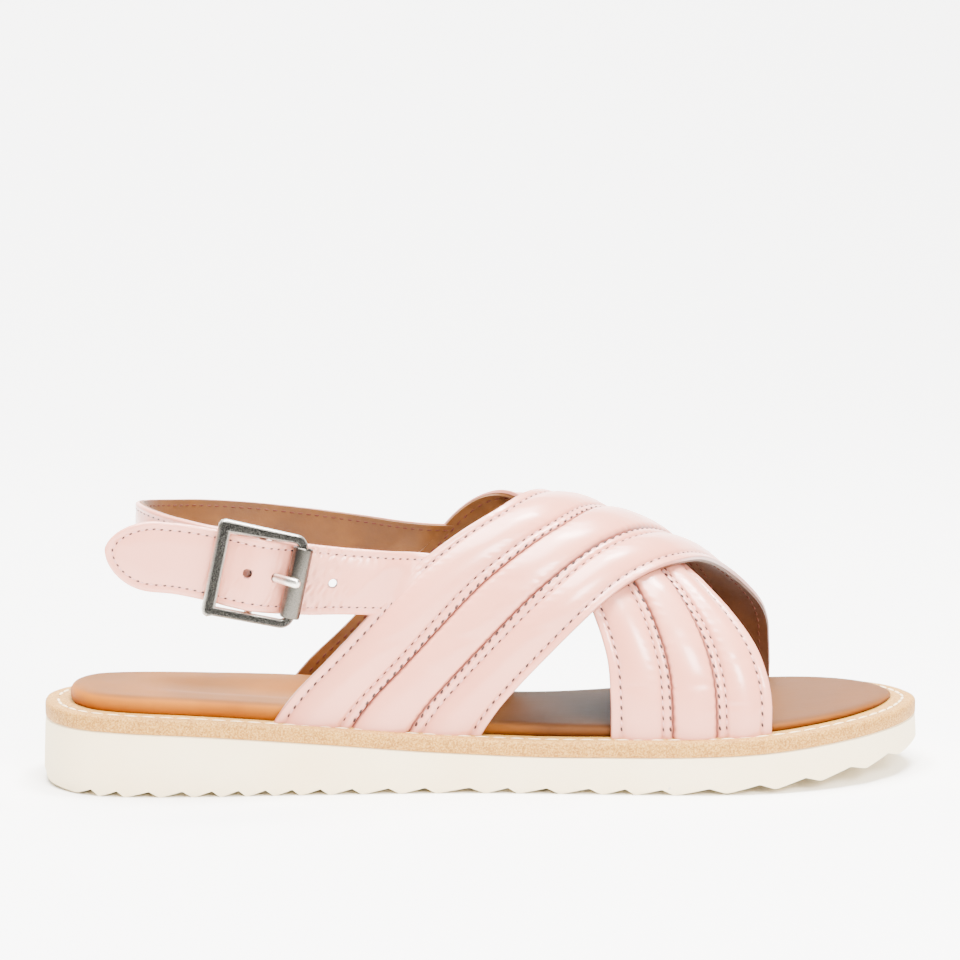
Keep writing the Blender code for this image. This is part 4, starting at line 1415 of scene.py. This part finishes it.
def ankle_threads(strap, paths, pitch, size):
    work = bmesh.new()
    # the face's second bead, finish 1, is the needle hole's painted shade
    face_stitches = ((0.5, size, 4, 0.02, 0), (0.0, (1.0, 0.55, 0.42), 12, 0.0, 1))
    back_stitches = ((0.5, size, 3, 0.0, 2),)

    def points(places, side):
        run, height = places.T
        if side > 0:
            return laid(strap, run, height, sheet_height(strap, run, height, pitch))
        return laid(strap, run, height, np.full(len(run), -strap.thickness / 2))

    for path in paths:
        for side, stitches in ((1, face_stitches), (-1, back_stitches)):
            for offset, one, slant, sink, finish in stitches:
                spots = spaced(path, pitch, 1 + offset)
                here = at_positions(path, spots)
                ahead = at_positions(path, np.clip(spots + 3, 0, len(path) - 1))
                centres = points(here, side)
                run = unit(points(ahead, side) - centres + 1e-9)
                spot = np.interp(here[:, 0], strap.line[0], np.arange(len(strap.line[0])))
                normals = unit(at_positions(strap.line[1], spot)[:, 9:12]) * side
                beads(work, centres, run, normals, one, slant, sink, finish)
    return work


# %% [markdown]
# ## The pieces of the ankle strap
# The short part is punched through both leathers. The long part has no holes, but where it lies
# behind them its face is in their shadow, so the same groove attribute darkens it there.

# %% Ankle strap: pieces
ankle_thread_set = [pink_thread, needle_hole_shade, brown_thread]
billet_face = punched(ribbon_sheet(billet, 34, 300, face_layer))
billet_back = punched(ribbon_sheet(billet, 20, 150, lining_layer, LINING_IN))
billet_seams = [seam_path(billet, SEAM_IN)]
finish_piece("billet_face", billet_face, pink, ["ankle_strap_billet"], sharp=55)
finish_piece("billet_lining", billet_back, tan, sharp=55)
billet_sewn = ankle_threads(billet, billet_seams, STRAP_PITCH, (1.5, 0.5, 0.36))
finish_piece("billet_threads", billet_sewn, ankle_thread_set)

sling_face = darkened(ribbon_sheet(sling, 34, 420, face_layer), HOLE_RADIUS + 0.5)
sling_back = ribbon_sheet(sling, 20, 220, lining_layer, LINING_IN)
sling_seams = [seam_path(sling, SLING_SEAM_IN, 0.05, sign) for sign in (-1, 1)]
finish_piece("sling_face", sling_face, pink, ["heel_sling"], sharp=55)
finish_piece("sling_lining", sling_back, tan, sharp=55)
sling_sewn = ankle_threads(sling, sling_seams, SLING_PITCH, (1.6, 0.5, 0.36))
finish_piece("sling_threads", sling_sewn, ankle_thread_set)

# %% [markdown]
# ## The roller buckle
# The frame is a zinc casting: a flat wire bent to a rectangle, with tight corners at one end and
# round ones at the roller. Its wire has bevels, and it is swept along a closed line whose
# corners are mitred. The centre bar steps in from the frame, so that the strap lies level.

# %% Buckle frame and centre bar
HALF_LENGTH, HALF_HEIGHT = 11.7, 12.4
BAR_SET_IN = 3.5
ROLLER_CORNER, HEEL_CORNER = 2.7, 0.35


def frame_line():
    """The middle of the frame's wire as a closed line in the buckle's x and z."""
    marks = []
    for sign_x, sign_z, first, (step_x, step_z) in (
        (1, 1, 0, (-1, 0)), (-1, 1, 90, (0, -1)), (-1, -1, 180, (1, 0)), (1, -1, 270, (0, 1))
    ):
        corner = ROLLER_CORNER if sign_x > 0 else HEEL_CORNER
        for angle in np.radians(first + np.linspace(0, 90, 13 if sign_x > 0 else 3)):
            marks.append((
                sign_x * (HALF_LENGTH - corner) + math.cos(angle) * corner,
                sign_z * (HALF_HEIGHT - corner) + math.sin(angle) * corner,
            ))
        marks.append((marks[-1][0] + step_x, marks[-1][1] + step_z))
    return np.array(marks + marks[:1])


def swept(line, section, closed=True, sides=24, tint=None):
    """A wire along a line of the buckle's own x, y and z. section gives points round it, and
    corners are mitred so that the wire keeps its width."""
    rows = len(line) - 1
    ahead = unit(np.diff(line, axis=0))
    behind = np.roll(ahead, 1, 0) if closed else np.vstack([ahead[:1], ahead[:-1]])
    run = unit(ahead + behind)
    mitre = 1 / np.clip((run * ahead).sum(1), 0.5, 1)
    run = np.vstack([run, run[:1] if closed else ahead[-1:]])
    mitre = np.append(mitre, mitre[0] if closed else 1)

    def where(round_it, along, layer):
        spot = np.rint(along * rows).astype(int)
        side, depth = section(round_it, line[spot])
        across = unit(np.cross(run[spot], np.array([0, 1.0, 0])))
        lift = unit(np.cross(across, run[spot]))
        return line[spot] + across * (side * mitre[spot])[:, None] + lift * depth[:, None]

    return close_ring(place(flat_sheet(sides, rows, walled=False), where, tint), capped=not closed)


def round_bar(round_it, at):
    angle = math.tau * round_it
    return 1.1 * np.cos(angle), 1.1 * np.sin(angle)


BEVELLED = np.array([
    # across, depth: a flat face, a bevel, a side, and the same again round the back
    (0.0, 1.0), (0.5, 1.0), (0.66, 0.98), (0.8, 0.84), (0.95, 0.6), (1.0, 0.4), (1.0, 0.0),
])


def bevelled_bar(width, depth):
    ring = np.vstack([
        BEVELLED, BEVELLED[-2::-1] * (1, -1), BEVELLED[1:] * (-1, -1), BEVELLED[-2::-1] * (-1, 1)
    ])
    marks = np.linspace(0, 1, len(ring))

    def section(round_it, at):
        side = np.interp(round_it, marks, ring[:, 0]) * width(at)
        return side, -np.interp(round_it, marks, ring[:, 1]) * depth

    return section, len(ring) - 1


def patina(round_it, along, layer):
    """Black patina on the flat front and back of the wire, rubbed off its bevels."""
    return np.clip(2.0 * np.abs(np.cos(math.tau * round_it)) - 0.9, 0, 1)


def wire_width(at):
    return 1.3 + 0.6 * smooth_step((-at[:, 0] - HALF_LENGTH + 1.6) / 1.2)


def buckle_frame():
    flat = frame_line()
    line = np.column_stack([flat[:, 0], np.zeros(len(flat)), flat[:, 1]])
    section, sides = bevelled_bar(wire_width, 1.35)
    frame_wire = swept(line, section, sides=sides, tint=patina)
    climb = [(0, 0), (1.6, 0.2), (3.1, 0.8), (BAR_SET_IN, 1.8), (BAR_SET_IN, HALF_HEIGHT)]
    bar = [(0, y, HALF_HEIGHT - drop) for y, drop in climb]
    bar += [(0, y, -z) for _, y, z in bar[-2::-1]]
    return merged(frame_wire, swept(np.array(bar, float), round_bar, closed=False, sides=16))


def merged(work, other):
    take_in(work, other)
    return work


# %% [markdown]
# ## Roller and prong
# The roller is a short length of tube with its ends rolled in, so it is turned from its wall's
# profile. The prong is cast with its eye, which turns on the centre bar: a ring is turned for
# the eye, and the shank is a sheet rolled round a bent line and closed at both ends.

# %% Roller and prong
def turned_tube(profile, steps=64):
    """A ring turned from a closed profile of radius and height, round the z axis."""
    work = bmesh.new()
    corners = [work.verts.new((radius, 0, z)) for radius, z in profile]
    edges = [work.edges.new(pair) for pair in zip(corners, corners[1:] + corners[:1])]
    bmesh.ops.spin(
        work, geom=corners + edges, cent=(0, 0, 0), axis=(0, 0, 1), angle=math.tau, steps=steps,
        use_merge=True,
    )
    return work


def buckle_roller():
    """The roller's wall with its ends rolled in, from each end's radius and distance inwards."""
    half = 10.3
    rolled = ((2.1, 0.3), (2.35, 0.02), (2.62, 0), (2.82, 0.18), (2.9, 0.5))
    profile = [(radius, -half + inwards) for radius, inwards in rolled]
    profile += [(radius, -z) for radius, z in reversed(profile)]
    return turned_tube(profile)


PRONG_LINE = (
    # buckle x, buckle y, half width, half depth
    (1.5, 3.3, 1.2, 0.9),
    (4.2, 1.7, 1.3, 1.05),
    (7.0, -0.7, 1.35, 1.1),
    (9.0, -3.0, 1.38, 1.1),
    (10.6, -4.25, 1.38, 1.05),
    (11.6, -4.4, 1.34, 1.0),
    (12.3, -4.35, 1.25, 0.9),
)


def buckle_prong():
    """The eye, which turns on the centre bar, and the shank, which is pressed flat at its tip."""
    angles = np.linspace(0, math.tau, 16, endpoint=False)
    eye = turned_tube([(1.4 + 0.65 * (1 + math.cos(a)), 1.55 * math.sin(a)) for a in angles], 40)
    bmesh.ops.translate(eye, vec=(0, BAR_SET_IN, 0), verts=eye.verts[:])
    fine = np.linspace(PRONG_LINE[0][0], PRONG_LINE[-1][0], 40)
    y, half_wide, half_deep = (read(PRONG_LINE, column, fine) for column in (1, 2, 3))
    tip = np.sqrt(np.clip(1 - np.clip((fine - 11.1) / 1.3, 0, 1) ** 2, 0.02, 1))
    line = np.column_stack([fine, y, np.zeros(40)])
    runs = unit(np.gradient(line, axis=0))
    level = np.array([0, 0, 1.0])

    def where(round_it, along, layer):
        spot = np.rint(along * 39).astype(int)
        deep, wide = (
            half[spot] * tip[spot] * np.sign(wave) * np.abs(wave) ** 0.8
            for half, wave in (
                (half_deep, np.cos(math.tau * round_it)), (half_wide, np.sin(math.tau * round_it))
            )
        )
        return line[spot] + np.cross(level, runs[spot]) * deep[:, None] + level * wide[:, None]

    shank = close_ring(place(flat_sheet(20, 39, walled=False), where), capped=True)
    bmesh.ops.translate(shank, vec=(0, 0, PRONG_UP), verts=shank.verts[:])
    return merged(eye, shank)


def seated(work, offset=(0, 0, 0)):
    work.transform(seat @ Matrix.Translation(offset))
    return work


for name, work, finish, node, sharp in (
    ("nickel_buckle_frame", seated(buckle_frame()), nickel, "buckle_frame", 35),
    ("nickel_roller", seated(buckle_roller(), (HALF_LENGTH, 0, 0)), roller_nickel_painted_dark, "buckle_roller", 40),
    ("nickel_prong", seated(buckle_prong()), rubbed_nickel, "buckle_prong", 40),
):
    finish_piece(name, work, finish, [node], sharp=sharp)

# %% [markdown]
# ## The fold round the centre bar
# The long strap's end is folded round the centre bar and sewn back on itself. The prong passes
# through a slot in the fold, so the fold is cut there.

# %% Strap fold
def strap_fold():
    centre = np.array([0, BAR_SET_IN])
    angles = np.radians(np.linspace(-90, 90, 19))
    bend = centre + 2.1 * np.column_stack([np.cos(angles), np.sin(angles)])
    inner, outer = [(-8.0, 5.0), (-5.0, 3.6), (-2.5, 1.9)], [(-2.5, 5.9), (-5.0, 6.2), (-8.0, 6.5)]
    line = np.vstack([inner, bend, outer])
    tangent = unit(np.gradient(line, axis=0))
    side = np.column_stack([-tangent[:, 1], tangent[:, 0]])

    def where(across, run, layer):
        spot = np.rint(run * (len(line) - 1)).astype(int)
        at = line[spot] + side[spot] * ((layer - 0.5) * 1.2)[:, None]
        return np.column_stack([at, (across * 2 - 1) * 9.7 + 0.6])

    fold = place(flat_sheet(24, len(line) - 1), where)
    slot = bmesh.new()
    room = Matrix.Translation((2, 3.5, PRONG_UP)) @ Matrix.Diagonal((8, 9, 4.0, 1))
    bmesh.ops.create_cube(slot, size=1, matrix=room)
    return seated(boolean(fold, slot, "DIFFERENCE"))


finish_piece("strap_fold", strap_fold(), pink)

# %% [markdown]
# ## The studio
# A catalogue picture: a white sweep that runs up behind the shoe and glows towards the top, two
# broad soft boxes overhead, a small one low in front that draws the highlights along the
# padding, and a strip above the toe. The camera has a long lens and stands a metre away.

# %% Sweep, lights and camera
FLOOR_END, SWEEP_RADIUS = 2800, 700


def sweep():
    def where(across, run, layer):
        reach = run * 4600
        curve = np.clip((reach - FLOOR_END) / 1100, 0, 1.6)
        bend = np.minimum(curve, math.pi / 2)
        back = np.minimum(reach, FLOOR_END) + SWEEP_RADIUS * np.sin(bend)
        up = SWEEP_RADIUS * (1 - np.cos(bend)) + 2400 * np.clip(curve - 1.4, 0, 1)
        return np.column_stack([(across - 0.5) * 6000, back - 1600, up - 0.02])

    work = place(flat_sheet(2, 90, walled=False), where)
    work.transform(Matrix.Scale(MM, 4))
    bmesh.ops.recalc_face_normals(work, faces=work.faces[:])
    made = linked("sweep", work)
    paper, tree, shader = new_finish(
        "white_paper_sweep", Roughness=0.9, Base_Color=linear("#FBFAF8"), Emission_Color=(1, 1, 1, 1)
    )
    far = add(tree, "SeparateXYZ", "Y", Vector=add(tree, "TexCoord", "Object"))
    glow = add(tree, "MapRange", Value=far, From_Min=0.25, From_Max=1.2, To_Min=0.0, To_Max=1.6)
    fill(tree, shader, {"Emission_Strength": glow})
    made.data.materials.append(paper)


def soft_light(name, at, size, power):
    lamp = bpy.data.lights.new(name, "AREA")
    lamp.shape, lamp.size, lamp.size_y, lamp.energy = "RECTANGLE", size[0], size[1], power
    made = bpy.data.objects.new(name, lamp)
    made.location = at
    made.rotation_euler = (Vector((0, 0, 0.04)) - Vector(at)).to_track_quat("-Z", "Y").to_euler()
    bpy.context.scene.collection.objects.link(made)


sweep()
soft_light("key", (-0.3, -0.5, 1.9), (1.3, 1.0), 155)
soft_light("front_box", (0.4, -1.3, 0.84), (0.42, 0.42), 46)
soft_light("top_strip", (0.42, 0.02, 1.55), (0.35, 0.5), 55)
soft_light("top", (0.0, 0.45, 1.85), (1.3, 1.0), 105)

world = bpy.data.worlds.new("studio_white")
world.use_nodes = True
world.node_tree.nodes["Background"].inputs["Color"].default_value = linear("#FFFFFF")
world.node_tree.nodes["Background"].inputs["Strength"].default_value = 0.22
bpy.context.scene.world = world

lens = bpy.data.cameras.new("camera")
lens.lens, lens.sensor_width, lens.clip_end = 132.2, 36, 20
camera = bpy.data.objects.new("camera", lens)
camera.location = (-0.11794, -1.03646, 0.2062)
aim = Vector((-0.00164, 0.00024, 0.0873)) - camera.location
camera.rotation_euler = aim.to_track_quat("-Z", "Y").to_euler()
bpy.context.scene.collection.objects.link(camera)
bpy.context.scene.camera = camera
